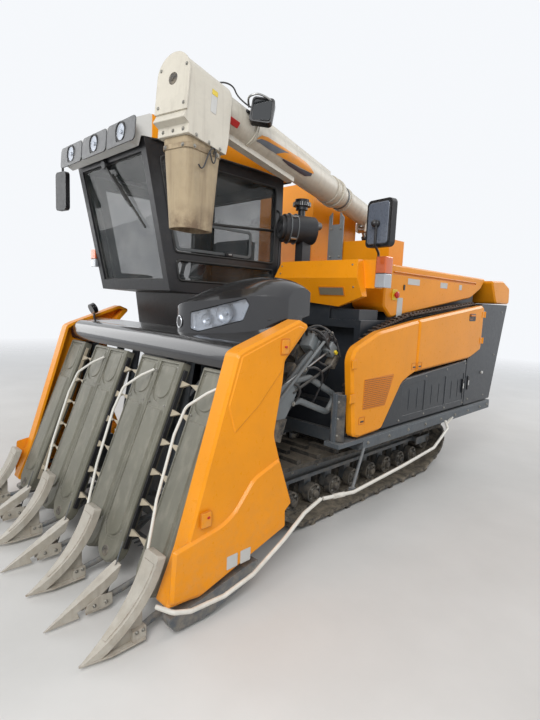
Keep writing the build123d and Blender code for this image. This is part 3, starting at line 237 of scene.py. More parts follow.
FINISHES = {
    "orange": worn_finish("orange_paint", ORANGE, 0.3, variation=0.06, dust=0.07, grime=0.06, wear=0.3,
                          wear_color=(0.5, 0.42, 0.3), coat=0.06, low_mud=0.2, shine=0.22),
    "roof": worn_finish("roof_paint", ORANGE, 0.3, variation=0.06, dust=0.1, grime=0.08, wear=0.2,
                        coat=0.06, wear_color=(0.5, 0.42, 0.3), front=(-1.545, CAB_WHITE), shine=0.22),
    # Darker orange paint: painted shade, laid where recesses, creases and rims fall into shade
    "orange_painted_shade": worn_finish("orange_paint_shaded", ORANGE_SHADED, 0.34, variation=0.07, dust=0.08,
                               grime=0.08, shine=0.22),
    "ivory": worn_finish("ivory_paint", IVORY, 0.42, variation=0.06, dust=0.3, grime=0.22, wear=0.5,
                         wear_color=RUST, streaks=0.2),
    "tan": worn_finish("spout_rubber", TAN, 0.72, variation=0.15, dust=0.1, grime=0.3, streaks=0.35,
                       grain=1.0, grain_scale=160, foot_stain=(2.24, 2.1)),
    "case": worn_finish("case_plastic", CASE_GREY, 0.5, variation=0.15, dust=0.3, grime=0.3, wear=0.6,
                        wear_color=(0.42, 0.4, 0.34), streaks=0.25, streak_color=(0.4, 0.37, 0.3),
                        grain=1.0),
    "divider": worn_finish("divider_paint", DIVIDER, 0.45, variation=0.1, dust=0.2, grime=0.35, wear=0.9,
                           wear_color=RUST, low_mud=0.5, streaks=0.25),
    "tine": worn_finish("tine_plastic", TINE, 0.6, variation=0.15, dust=0.2, grime=0.4),
    "pipe": worn_finish("guide_pipe_paint", PIPE_WHITE, 0.35, variation=0.05, dust=0.15, grime=0.25,
                        low_mud=0.3),
    "black": worn_finish("black_satin", BLACK, 0.4, variation=0.3, dust=0.12, grime=0.1, wear=0.2),
    "hood": worn_finish("hood_gloss", (0.008, 0.008, 0.01), 0.2, variation=0.2, dust=0.07, grime=0.05,
                        coat=0.7),
    "panel": worn_finish("panel_black", PANEL_BLACK, 0.36, variation=0.2, dust=0.15, grime=0.12,
                         low_mud=0.3),
    "frame": worn_finish("frame_paint", FRAME_GREY, 0.5, variation=0.2, dust=0.22, grime=0.3, wear=0.5,
                         low_mud=0.5),
    "link": worn_finish("link_paint", LINK_GREY, 0.45, variation=0.15, dust=0.35, grime=0.4, wear=0.4),
    "cast": worn_finish("cast_iron", CAST, 0.68, variation=0.25, dust=0.4, grime=0.5, wear=0.5, grain=1.0,
                        low_mud=0.7, metallic=0.3),
    "rubber": worn_finish("track_rubber", RUBBER, 0.8, variation=0.3, dust=0.5, dust_color=DUST, grime=0.4,
                          grain=1.0, grain_scale=260, low_mud=0.75),
    "chain": worn_finish("chain_steel", (0.055, 0.035, 0.025), 0.5, variation=0.35, dust=0.12, grime=0.3,
                         wear=0.7, metallic=0.5, wear_color=(0.3, 0.25, 0.2)),
    "steel": worn_finish("worn_steel", STEEL, 0.32, variation=0.12, dust=0.15, grime=0.25, metallic=1.0),
    "cab_white": worn_finish("roof_plastic", CAB_WHITE, 0.4, variation=0.05, dust=0.35, grime=0.2,
                             streaks=0.15),
    "interior": worn_finish("interior_plastic", (0.03, 0.03, 0.032), 0.6, variation=0.2, dust=0.2,
                            grain=1.0),
    "yellow": worn_finish("yellow_tag", (0.75, 0.55, 0.02), 0.45, dust=0.2),
    "red": worn_finish("red_plastic", (0.5, 0.01, 0.008), 0.3, dust=0.15),
    "hose": worn_finish("hose_rubber", (0.02, 0.02, 0.022), 0.5, dust=0.3, grime=0.3, grain=1.0),
    "decal": worn_finish("decal_blue", (0.02, 0.025, 0.05), 0.35, dust=0.08),
    "decal_grey": worn_finish("decal_grey", (0.12, 0.14, 0.17), 0.35, variation=0.4, dust=0.1),
    "reflector": worn_finish("lamp_reflector", (0.3, 0.33, 0.38), 0.3, variation=0.1, dust=0.0, grime=0.1,
                             metallic=0.7),
    "blank_plate": worn_finish("blank_plate", (0.55, 0.55, 0.53), 0.4, dust=0.2, grime=0.2),
    "plate_dark": worn_finish("dark_plate", (0.2, 0.17, 0.12), 0.3, dust=0.2, grime=0.3),
    "bolt": worn_finish("bolt_zinc", (0.3, 0.29, 0.26), 0.4, variation=0.2, dust=0.2, grime=0.3,
                        metallic=0.9),
    "chrome": worn_finish("chrome", (0.85, 0.86, 0.88), 0.1, variation=0.03, dust=0.0, grime=0.0,
                          metallic=1.0),
    "fascia": worn_finish("fascia_grey", (0.06, 0.062, 0.065), 0.4, variation=0.1, dust=0.15, grime=0.2),
    "rubber_trim": worn_finish("trim_rubber", (0.012, 0.012, 0.012), 0.55, dust=0.2, grain=1.0),
    "grey_rubber": worn_finish("grey_trim", (0.11, 0.12, 0.125), 0.5, dust=0.25, grime=0.3, grain=1.0),
    # Bluish grey of the mirror's back is a painted reflection over the dark shell
    "painted_reflection": worn_finish("mirror_back_painted_reflection", (0.13, 0.15, 0.19), 0.28, variation=0.05, dust=0.15, grime=0.1,
                         coat=0.6),
    "seat": worn_finish("seat_cloth", (0.035, 0.035, 0.04), 0.85, variation=0.25, dust=0.2, grain=1.0,
                        grain_scale=420),
    "glass": glass_finish("cab_glass", (0.02, 0.028, 0.03), 0.32),
    "mirror": worn_finish("mirror_silver", (0.8, 0.82, 0.84), 0.05, variation=0.02, dust=0.05, grime=0.0,
                          metallic=1.0),
    "mirror_dark": worn_finish("dark_glass", (0.01, 0.012, 0.014), 0.06, variation=0.05, dust=0.1,
                               grime=0.0, coat=1.0),
    "clear": glass_finish("clear_cover", (0.85, 0.87, 0.9), 0.1, 0.03),
    "lens": lens_finish("lamp_lens", (0.5, 0.52, 0.55)),
    "amber": lens_finish("amber_lens", AMBER),
}

# Finish of each CAD node
NODE_FINISH = {
    "air_cleaner": "black", "auger_column": "orange", "auger_cylinder": "black", "auger_elbow": "ivory",
    "auger_inner_tube": "ivory", "auger_outer_tube": "ivory", "auger_rod": "steel", "auger_spout": "tan",
    "cab_door": "black", "cab_door_glass": "glass", "cab_glass": "glass", "cab_interior": "interior",
    "cab_roof": "roof", "cab_shell": "black", "chassis_frame": "frame", "crop_conveyor": "link",
    "cylinder_cover": "orange", "dividers": "divider", "engine_block": "cast", "engine_grille": "black",
    "feed_chain": "chain", "grain_tank": "orange", "guide_pipe_rear": "pipe", "guide_rods": "pipe",
    "header_covers": "orange", "header_cylinder": "black", "header_frame": "frame", "header_rod": "steel",
    "header_top": "hood", "headlight": "lens", "lamps": "lens", "lower_housings": "orange",
    "lower_panels": "panel", "mirrors": "black", "raising_cases": "case", "side_cover_front": "orange",
    "side_cover_rear": "orange", "threshing_body": "panel", "tine_chains": "tine", "track_drive": "cast",
    "track_left": "rubber", "track_right": "rubber", "track_rollers": "cast", "upper_covers": "orange",
    "work_lamp": "black",
}


def dress(node, base, *regions):
    """Gives a CAD node its finish, and others to faces whose centre lies in a box."""
    mesh = nodes[node].data
    mesh.materials.clear()
    for finish in (base, *[region[0] for region in regions]):
        mesh.materials.append(FINISHES[finish])
    for face in mesh.polygons:
        face.material_index = 0
        for index, (_, low, high) in enumerate(regions, 1):
            if all(a <= c <= b for a, c, b in zip(low, face.center, high)):
                face.material_index = index


CARRIERS = ((0.764, 0.78), (0.574, 0.592), (0.088, 0.106), (-0.106, -0.088), (-0.592, -0.574),
            (-0.78, -0.764))
REGIONS = {
    "tine_chains": [("black", (low, -9, -9), (high, 9, 9)) for low, high in CARRIERS],
    "cab_roof": [("cab_white", (-0.96, -1.8, 2.6), (0.03, -1.6, 2.86))],
    "lower_housings": [("black", (-1.06, -0.97, 0.4), (-0.27, -0.28, 1.2))],
    "threshing_body": [("orange", (0.1, 0.49, 1.99), (0.64, 0.76, 2.3)),
                       ("link", (-0.05, 0.4, 1.99), (0.18, 0.47, 2.6))],
}
for node, finish in NODE_FINISH.items():
    dress(node, finish, *REGIONS.get(node, []))

# Places that the pieces share, in metres
DEG = math.pi / 180
CLOSED = {"cyclic": True, "kind": "POLY"}
AUGER = (Matrix.Translation((-0.13, 1.5, 2.565)) @ Matrix.Rotation(11 * DEG, 4, "Z")
         @ Matrix.Rotation(-5.82 * DEG, 4, "X"))
CASE = Matrix.Translation((0, -2.074, 0.143)) @ Matrix.Rotation(-21.4 * DEG, 4, "X")
CAB_SIDE_X = 0.06
CAB_RIGHT_X = -0.95
DOOR_FACE_X = 1.075
COVER_FACE_X = 1.138
LAMP_ROW_X = (-0.06, -0.445, -0.83)
ROLLERS_Y = (-0.66, -0.39, -0.12, 0.15, 0.42, 0.69, 0.945, 1.19)
ROLLER_Z = 0.164
SPROCKET = (-0.93, 0.36)
IDLER = (1.43, 0.3)
LID_FACE_X = 0.938
PANEL_FACE_X = 1.045
CUTTER_FACE_X = 1.042
TANK_FACE_X = -1.028
CHAIN_X = 0.966
CHAIN_PITCH = 0.031
RAIL_X = 1.06
RAIL_Z = 0.665
SEAT_AT = (-0.45, -0.57, 1.515)
TUBE_RADIUS = 0.115
LARGE_DIVIDERS_X = (1.02, 0.34, -0.34, -1.02)
ARROW_DIVIDERS_X = (0.68, 0.0, -0.68)
CASES_X = ((0.78, 1.01), (0.34, 0.575), (0.105, 0.34), (-0.34, -0.105), (-0.575, -0.34), (-1.01, -0.78))
FLOOR_HALF = 40.0


def put(x, y, z, rx=0, ry=0, rz=0):
    turn = Matrix.Rotation(rz * DEG, 4, "Z") @ Matrix.Rotation(ry * DEG, 4, "Y")
    return Matrix.Translation((x, y, z)) @ (turn @ Matrix.Rotation(rx * DEG, 4, "X"))


def facing(point, normal, up=(0, 0, 1)):
    """Place whose Z axis is the normal and whose Y axis leans to up."""
    z = Vector(normal).normalized()
    x = Vector(up).cross(z)
    x = Vector((1, 0, 0)) if x.length < 1e-6 else x.normalized()
    return Matrix.Translation(point) @ Matrix((x, z.cross(x), z)).transposed().to_4x4()


def on_side(x, y, z, side=1):
    """Place on a face that looks to the left (side 1) or the right (side -1)."""
    return facing((x, y, z), (side, 0, 0))


def across(side=1, x=0.0):
    """Turns an outline of (y, z) points and its thickness along X."""
    return Matrix(((0, 0, side, x), (1, 0, 0, 0), (0, 1, 0, 0), (0, 0, 0, 1)))


def surface(node):
    mesh = nodes[node].data
    return BVHTree.FromPolygons([v.co for v in mesh.vertices], [p.vertices for p in mesh.polygons])


def land(tree, start, direction):
    point, normal, _, _ = tree.ray_cast(Vector(start), Vector(direction))
    return point, normal


def piece(name, bm, finish, body, place=None, bevel=0.0, smooth=True):
    """Object from a bmesh, bevelled if asked, that rides on a body."""
    mesh = bpy.data.meshes.new(name)
    bmesh.ops.recalc_face_normals(bm, faces=bm.faces)
    bm.to_mesh(mesh)
    bm.free()
    mesh.materials.append(FINISHES[finish])
    obj = bpy.data.objects.new(name, mesh)
    obj.matrix_world = place or Matrix.Identity(4)
    bpy.context.scene.collection.objects.link(obj)
    if bevel:
        rounds = obj.modifiers.new("rounds", "BEVEL")
        rounds.width = bevel
        rounds.segments = 2
        rounds.limit_method = "ANGLE"
        rounds.angle_limit = 35 * DEG
    if smooth:
        for face in mesh.polygons:
            face.use_smooth = True
        mesh.set_sharp_from_angle(angle=40 * DEG)
    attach(obj, body)
    return obj


def rounded(points, radius, steps=5):
    """Outline with an arc at each corner."""
    out = []
    corners = [Vector(p) for p in points]
    for i, corner in enumerate(corners):
        before = (corners[i - 1] - corner).normalized()
        after = (corners[(i + 1) % len(corners)] - corner).normalized()
        half = before.angle(after) / 2
        centre = corner + (before + after).normalized() * radius / math.sin(half)
        first = corner + before * radius / math.tan(half) - centre
        last = corner + after * radius / math.tan(half) - centre
        for k in range(steps + 1):
            out.append(centre + first.slerp(last, k / steps).normalized() * radius)
    return [tuple(p) for p in out]


def rect(width, height, radius=0.0, x=0.0, y=0.0):
    a, b = width / 2, height / 2
    points = [(x - a, y - b), (x + a, y - b), (x + a, y + b), (x - a, y + b)]
    return rounded(points, radius) if radius else points


def ellipse(a, b, steps=48):
    return [(a * math.cos(t), b * math.sin(t)) for t in (2 * math.pi * k / steps for k in range(steps))]


def add_prism(bm, outline, low, high, shrink=1.0, matrix=None):
    """Adds a prism over an outline in XY, its top scaled about the outline's middle."""
    middle = sum((Vector(p) for p in outline), Vector((0, 0))) / len(outline)
    matrix = matrix or Matrix.Identity(4)
    rings = []
    for z, scale in ((low, 1.0), (high, shrink)):
        ring = [middle + (Vector(p) - middle) * scale for p in outline]
        rings.append([bm.verts.new(matrix @ Vector((p.x, p.y, z))) for p in ring])
    bm.faces.new(rings[0][::-1])
    bm.faces.new(rings[1])
    for i in range(len(outline)):
        j = (i + 1) % len(outline)
        bm.faces.new((rings[0][i], rings[0][j], rings[1][j], rings[1][i]))


def slab(name, outline, low, high, finish, body, place=None, bevel=0.002, shrink=1.0):
    bm = bmesh.new()
    add_prism(bm, outline, low, high, shrink)
    return piece(name, bm, finish, body, place, bevel)


def plates(body, place, *rows):
    """Rounded plates at one place: name, width, height, corner, low, high, finish, bevel."""
    for name, width, height, corner, low, high, finish, bevel in rows:
        slab(name, rect(width, height, corner), low, high, finish, body, place, bevel)


def add_frame(bm, outer, inner, low, high, matrix=None):
    """Adds a flat ring between two outlines with as many points."""
    matrix = matrix or Matrix.Identity(4)
    grid = []
    for outline, z in ((outer, low), (outer, high), (inner, high), (inner, low)):
        grid.append([bm.verts.new(matrix @ Vector((p[0], p[1], z))) for p in outline])
    for k in range(4):
        a, b = grid[k], grid[(k + 1) % 4]
        for i in range(len(outer)):
            j = (i + 1) % len(outer)
            bm.faces.new((a[i], a[j], b[j], b[i]))


def add_lathe(bm, profile, matrix=None, steps=32):
    """Adds a surface turned about Z from (radius, height) pairs."""
    matrix = matrix or Matrix.Identity(4)
    rings = []
    for radius, height in profile:
        if radius < 1e-6:
            rings.append([bm.verts.new(matrix @ Vector((0, 0, height)))])
            continue
        turns = [2 * math.pi * k / steps for k in range(steps)]
        rings.append([bm.verts.new(matrix @ Vector((radius * math.cos(t), radius * math.sin(t), height)))
                      for t in turns])
    for low, high in zip(rings, rings[1:]):
        for k in range(steps):
            j = (k + 1) % steps
            corners = [low[k % len(low)], low[j % len(low)], high[j % len(high)], high[k % len(high)]]
            bm.faces.new(list(dict.fromkeys(corners)))


def lathe(name, profile, finish, body, place=None, steps=32):
    bm = bmesh.new()
    add_lathe(bm, profile, None, steps)
    return piece(name, bm, finish, body, place)


def add_bolt(bm, matrix, size):
    """Adds a washer, a hexagon head and its thread end along Z."""
    washer = ((0.0, 0.0), (size * 0.95, 0.0), (size * 0.95, size * 0.14), (size * 0.4, size * 0.14))
    add_lathe(bm, washer, matrix, 12)
    head = [(size * 0.62 * math.cos(a * 60 * DEG), size * 0.62 * math.sin(a * 60 * DEG)) for a in range(6)]
    add_prism(bm, head, size * 0.14, size * 0.56, 0.94, matrix)
    add_lathe(bm, ((size * 0.28, size * 0.5), (size * 0.26, size * 0.7), (0.0, size * 0.7)), matrix, 8)


def bolts(name, places, size, body, finish="bolt"):
    bm = bmesh.new()
    for place in places:
        add_bolt(bm, place, size)
    return piece(name, bm, finish, body)


def wire(name, points, radius, finish, body, place=None, cyclic=False, kind="NURBS"):
    """Round wire, hose or trim along a curve."""
    curve = bpy.data.curves.new(name, "CURVE")
    curve.dimensions = "3D"
    curve.bevel_depth = radius
    curve.bevel_resolution = 3
    curve.resolution_u = 6
    curve.use_fill_caps = True
    spline = curve.splines.new(kind)
    spline.points.add(len(points) - 1)
    for target, point in zip(spline.points, points):
        target.co = (*point, 1.0)
    spline.use_cyclic_u = cyclic
    if kind == "NURBS":
        spline.order_u = 3
        spline.use_endpoint_u = not cyclic
    curve.materials.append(FINISHES[finish])
    obj = bpy.data.objects.new(name, curve)
    obj.matrix_world = place or Matrix.Identity(4)
    bpy.context.scene.collection.objects.link(obj)
    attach(obj, body)
    return obj


def side_outline(points, x, radius, name, finish, body, corner=0.03):
    """Rubber strip along an outline of (y, z) points in a plane across X."""
    loop = rounded(points, corner, 4)
    return wire(name, [(x, y, z) for y, z in loop], radius, finish, body, **CLOSED)


def roof_lamps():
    """Bezel, reflector and lens of the three round lamps in the roof's front."""
    for i, x in enumerate(LAMP_ROW_X):
        place = put(x, -1.691, 2.712, rx=90)
        bezel = ((0.046, 0.0), (0.052, 0.009), (0.06, 0.013), (0.065, 0.009), (0.0655, -0.01))
        lathe("roof_lamp_bezel_%d" % i, bezel, "black", "base", place, 40)
        dish = ((0.052, 0.006), (0.04, 0.0035), (0.022, 0.0015), (0.013, 0.001), (0.0125, 0.009),
                (0.0, 0.011))
        lathe("roof_lamp_dish_%d" % i, dish, "reflector", "base", place, 40)
        lens = ((0.053, 0.008), (0.045, 0.0115), (0.025, 0.0145), (0.0, 0.0155))
        lathe("roof_lamp_lens_%d" % i, lens, "clear", "base", place, 40)


def roof_trim():
    """Grey fascia round the lamps with its joint lines, and the gutter of the roof."""
    for i, x in enumerate(LAMP_ROW_X):
        outer = rect(0.374, 0.15, 0.03)
        hole = [(0.067 * math.cos(t), 0.067 * math.sin(t)) for t in
                (math.atan2(p[1] / 0.075, p[0] / 0.187) for p in outer)]
        bm = bmesh.new()
        add_frame(bm, outer, hole, 0.0, 0.0075)
        piece("lamp_fascia_%d" % i, bm, "fascia", "base", put(x, -1.6915, 2.705, rx=86), 0.003)
    gutter = [(0.03, -1.6), (0.075, -1.5), (0.075, -0.6), (0.03, -0.17), (-1.0, -0.17)]
    wire("roof_gutter", [(x, y, 2.688) for x, y in gutter], 0.007, "rubber_trim", "base", kind="POLY")


def cab_windows():
    """Rubbers, and the sliding pane's frame with its catch."""
    upper = [(-1.345, 1.985), (-1.48, 2.6), (-0.37, 2.6), (-0.37, 1.985)]
    lower = [(-1.31, 1.79), (-1.335, 1.93), (-0.37, 1.93), (-0.37, 1.79)]
    for name, points in (("upper", upper), ("lower", lower)):
        side_outline(points, CAB_SIDE_X + 0.001, 0.008, "window_rubber_left_" + name, "rubber_trim", "base")
    pane = rounded([(-1.33, 2.0), (-1.385, 2.215), (-0.62, 2.215), (-0.62, 2.0)], 0.04, 5)
    inner = rounded([(-1.305, 2.022), (-1.353, 2.193), (-0.642, 2.193), (-0.642, 2.022)], 0.022, 5)
    bm = bmesh.new()
    add_frame(bm, pane, inner, 0.043, 0.054, across())
    piece("sliding_pane_frame", bm, "grey_rubber", "base", bevel=0.003)
    plates("base", on_side(0.054, -0.86, 2.012),
           ("sliding_pane_catch", 0.07, 0.028, 0.008, 0, 0.018, "black", 0.003),
           ("sliding_pane_grip", 0.03, 0.012, 0.004, 0.018, 0.026, "steel", 0.002))
    mid = [(0.048, -1.352, 2.2), (0.048, -0.38, 2.255)]
    wire("window_bar_left", mid, 0.011, "rubber_trim", "base", kind="POLY")
    # Columns: name, left and right edge, foot and top as (y, z), radius of the strip
    for name, low, high, foot, top, radius in (
            ("front", -0.888, -0.002, (-1.377, 1.795), (-1.559, 2.607), 0.009),
            ("rear", -0.858, -0.032, (-0.294, 1.902), (-0.294, 2.558), 0.008)):
        strip = [(low, *foot), (high, *foot), (high, *top), (low, *top)]
        wire("window_rubber_" + name, strip, radius, "rubber_trim", "base", **CLOSED)
    door = [(-0.939, 1.851), (-1.239, 1.851), (-1.384, 2.524), (-0.481, 2.524), (-0.481, 1.401),
            (-0.88, 1.401)]
    side_outline(door, CAB_RIGHT_X - 0.002, 0.008, "window_rubber_door", "rubber_trim", "door")


def wiper():
    """Arm and blade resting across the front pane, from the motor above it."""
    normal = Vector((0, -0.976, -0.218))
    top, foot = Vector((-0.5, -1.565, 2.61)), Vector((-0.13, -1.455, 2.15))
    along = (foot - top).normalized()
    sideways = along.cross(normal)
    bm = bmesh.new()
    for start, end, half, lift, depth in ((0.0, 0.34, 0.011, 0.026, 0.01), (0.1, 0.6, 0.009, 0.006, 0.014),
                                         (0.28, 0.4, 0.013, 0.014, 0.016)):
        grid = []
        for step, wide in ((start, half), (end, half * 0.6)):
            centre = top + along * step + normal * lift
            for a, b in ((-wide, 0), (wide, 0), (wide, depth), (-wide, depth)):
                grid.append(bm.verts.new(centre + sideways * a + normal * b))
        for a, b, c, d in ((0, 1, 2, 3), (7, 6, 5, 4), (0, 4, 5, 1), (1, 5, 6, 2), (2, 6, 7, 3),
                           (3, 7, 4, 0)):
            bm.faces.new([grid[k] for k in (a, b, c, d)])
    piece("wiper_blade", bm, "rubber_trim", "base", bevel=0.002)
    motor = ((0.0, 0.05), (0.03, 0.047), (0.036, 0.036), (0.037, 0.0))
    lathe("wiper_motor", motor, "black", "base", facing(top - normal * 0.006, normal))


def cab_outside():
    """Grab rails, door handle and step tread of the cab."""
    rail = [(-0.955, -1.32, 1.75), (-1.0, -1.34, 1.76), (-1.01, -1.36, 1.85), (-1.01, -1.45, 2.3),
            (-1.0, -1.47, 2.38), (-0.955, -1.46, 2.39)]
    wire("grab_rail_front", rail, 0.012, "black", "base")
    rail = [(0.06, -0.35, 1.9), (0.1, -0.35, 1.91), (0.105, -0.35, 2.0), (0.105, -0.35, 2.32),
            (0.1, -0.35, 2.41), (0.06, -0.35, 2.42)]
    wire("grab_rail_left", rail, 0.011, "black", "base")
    handle = [(-0.973, -0.905, 1.6), (-1.0, -0.905, 1.61), (-1.005, -0.905, 1.66), (-1.005, -0.905, 1.74),
              (-1.0, -0.905, 1.8), (-0.972, -0.905, 1.81)]
    wire("door_handle", handle, 0.009, "black", "door")
    bm = bmesh.new()
    for k in range(9):
        add_prism(bm, rect(0.1, 0.016, 0.004), 0, 0.006, 0.8, put(-0.985, -0.9 + k * 0.05, 0.51))
    for k in range(4):
        add_prism(bm, rect(0.012, 0.4, 0.004), 0, 0.005, 0.8, put(-0.945 - k * 0.026, -0.72, 0.5095))
    piece("step_tread", bm, "steel", "base")


def crowned_cushion(name, size, place, body, channels=3):
    """Closed crowned cushion with sewn channels across it."""
    bm = bmesh.new()
    bmesh.ops.create_grid(bm, x_segments=28, y_segments=28, size=0.5)
    width, length, thick = size
    low = bmesh.ops.duplicate(bm, geom=bm.faces[:])["geom"]
    under = {v for v in low if isinstance(v, bmesh.types.BMVert)}
    for vert in bm.verts:
        u, v = vert.co.x * 2, vert.co.y * 2
        edge = max(0.0, 1 - abs(u) ** 5) ** 0.4 * max(0.0, 1 - abs(v) ** 5) ** 0.4
        groove = math.exp(-(math.sin(v * math.pi * channels / 2) / 0.16) ** 2)
        seam = 1 - 0.16 * groove if abs(u) < 0.72 else 1.0
        pull = 1 - 0.025 * (1 - edge)
        height = thick * 0.5 * edge * (seam if vert not in under else 0.9)
        vert.co = Vector((u * width / 2 * pull, v * length / 2 * pull,
                          -height if vert in under else height))
    bmesh.ops.remove_doubles(bm, verts=bm.verts, dist=0.0006)
    obj = piece(name, bm, "seat", body, place)
    smooth = obj.modifiers.new("smooth", "SUBSURF")
    smooth.levels = smooth.render_levels = 1


def seat():
    """Two padded cushions over the seat's shell, with piping, and the lever's boot."""
    crowned_cushion("seat_cushion", (0.53, 0.53, 0.17), put(*SEAT_AT), "base")
    crowned_cushion("seat_back_cushion", (0.5, 0.67, 0.16), put(-0.45, -0.385, 1.88, rx=90), "base", 4)
    ring = [(SEAT_AT[0] + 0.262 * a, SEAT_AT[1] + 0.262 * b, SEAT_AT[2]) for a, b in rect(2, 2, 0.3)]
    wire("seat_piping", ring, 0.006, "rubber_trim", "base", **CLOSED)
    boot = [(0.05, 0.0), (0.052, 0.012), (0.04, 0.02), (0.043, 0.032), (0.031, 0.042), (0.034, 0.054),
            (0.018, 0.066)]
    lathe("lever_boot", boot, "interior", "base", put(-0.44, -0.958, 1.8))
    plates("base", put(-0.2, -0.93, 1.88, rx=70),
           ("display", 0.2, 0.13, 0.012, 0, 0.03, "black", 0.004),
           ("display_glass", 0.17, 0.1, 0.006, 0.03, 0.033, "mirror_dark", 0.001))
    for k in range(5):
        plates("base", put(-0.8, -0.8 + k * 0.06, 1.7),
               ("console_switch_%d" % k, 0.035, 0.022, 0.004, 0, 0.012, "interior", 0.003))


def mirror_trim():
    """Backs, balls and glass of the mirrors, and the round mirror's rim."""
    left = put(1.045, -0.31, 2.245, rz=-12)
    back = left @ Matrix.Rotation(90 * DEG, 4, "X")
    # Back panel in bluish grey: painted reflection on the mirror's dark shell
    slab("mirror_back_left", rect(0.196, 0.286, 0.024), 0.029, 0.0335, "painted_reflection", "base", back, 0.002, 0.97)
    slab("mirror_glass_left", rect(0.21, 0.3, 0.026), 0, 0.003, "mirror", "base",
         left @ put(0, 0.024, 0, rx=-90), 0.001)
    ball = ((0.0, 0.026), (0.013, 0.022), (0.024, 0.008), (0.026, -0.004), (0.018, -0.012), (0.016, -0.03))
    lathe("mirror_ball_left", ball, "black", "base", left @ put(-0.006, -0.058, -0.005, rx=90))
    right = put(-1.11, -1.65, 2.48, rz=8)
    slab("mirror_glass_right", rect(0.13, 0.28, 0.02), 0, 0.003, "mirror", "base",
         right @ put(0, 0.018, 0, rx=-90), 0.001)
    rim = ((0.0, -0.003), (0.037, -0.003), (0.0415, 0.001), (0.0445, 0.005), (0.0465, 0.0))
    lathe("round_mirror_rim", rim, "black", "header", facing((-1.014, -1.4285, 1.55), (0, 0.905, 0.425)))
    lathe("round_mirror_glass", ((0.0, 0.002), (0.022, 0.0015), (0.0415, 0.0)), "mirror", "header",
          facing((-1.014, -1.427, 1.5507), (0, 0.905, 0.425)))


def marker_lamps():
    """Amber and clear lenses round the two marker lamps."""
    for name, x, y, size, low, high in (("left", 1.083, -0.29, (0.08, 0.096), 1.801, 2.0165),
                                        ("right", -0.9905, -1.4235, (0.084, 0.062), 1.8935, 2.0365)):
        split = low + (high - low) * 0.46
        plates("base", put(x, y, 0),
               ("marker_clear_" + name, *size, 0.006, low, split - 0.003, "lens", 0.003),
               ("marker_amber_" + name, *size, 0.006, split, high, "amber", 0.004),
               ("marker_joint_" + name, size[0] - 0.001, size[1] - 0.001, 0.006, split - 0.003, split,
                "black", 0))


def headlight():
    """Chromed bowls behind a clear cover that takes the CAD lens's own front faces."""
    source = nodes["headlight"].data
    ahead = Vector((0.287, -0.958, 0.0))
    cover = bmesh.new()
    cover.from_mesh(source)
    reflector = cover.copy()
    for bm, shift in ((cover, 0.0), (reflector, -0.034)):
        gone = [face for face in bm.faces if face.normal.dot(ahead) < 0.35]
        bmesh.ops.delete(bm, geom=gone, context="FACES")
        bmesh.ops.translate(bm, verts=bm.verts, vec=ahead * shift)
    rim = [edge for edge in reflector.edges if edge.is_boundary]
    walls = bmesh.ops.extrude_edge_only(reflector, edges=rim)["geom"]
    bmesh.ops.translate(reflector, verts=[v for v in walls if isinstance(v, bmesh.types.BMVert)],
                        vec=ahead * 0.0325)
    cover_piece = piece("headlight_cover", cover, "clear", "header")
    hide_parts("headlight")
    piece("headlight_reflector", reflector, "reflector", "header")
    origin, side = Vector((0.47, -1.493, 0)), Vector((0.958, 0.287, 0))
    tree = surface("headlight")
    bowl = ((0.052, 0.012), (0.05, 0.006), (0.036, -0.004), (0.018, -0.012), (0.012, -0.013),
            (0.011, 0.004), (0.0, 0.007))
    for k, (along, z, size) in enumerate(((0.105, 1.545, 0.7), (0.235, 1.588, 1.15))):
        start = origin + side * along + Vector((0, 0, z)) + ahead * 0.3
        point, _ = land(tree, start, -ahead)
        place = facing(point - ahead * 0.024, ahead) @ Matrix.Scale(size, 4)
        lathe("headlight_bowl_%d" % k, bowl, "reflector", "header", place, 36)


def hood_trim():
    """Blank badge on the hood's nose, and the seam strip under the headlight."""
    tree = surface("header_top")
    point, normal = land(tree, (0.38, -2.2, 1.52), (0, 1, 0))
    slab("hood_badge", ellipse(0.032, 0.04, 36), -0.006, 0.006, "black", "header", facing(point, normal),
         0.002, 0.9)
    ring = [(x, y, 0.0045) for x, y in ellipse(0.029, 0.037, 36)]
    wire("hood_badge_ring", ring, 0.003, "chrome", "header", facing(point, normal), **CLOSED)
    row = []
    for x in (0.42, 0.52, 0.62, 0.74, 0.86, 0.96):
        point, normal = land(tree, (x, -2.4, 1.47 + (x - 0.42) * 0.18), (0, 1, 0))
        if point is not None:
            row.append(point + normal * 0.001)
    wire("hood_lower_seam", row, 0.004, "rubber_trim", "header")


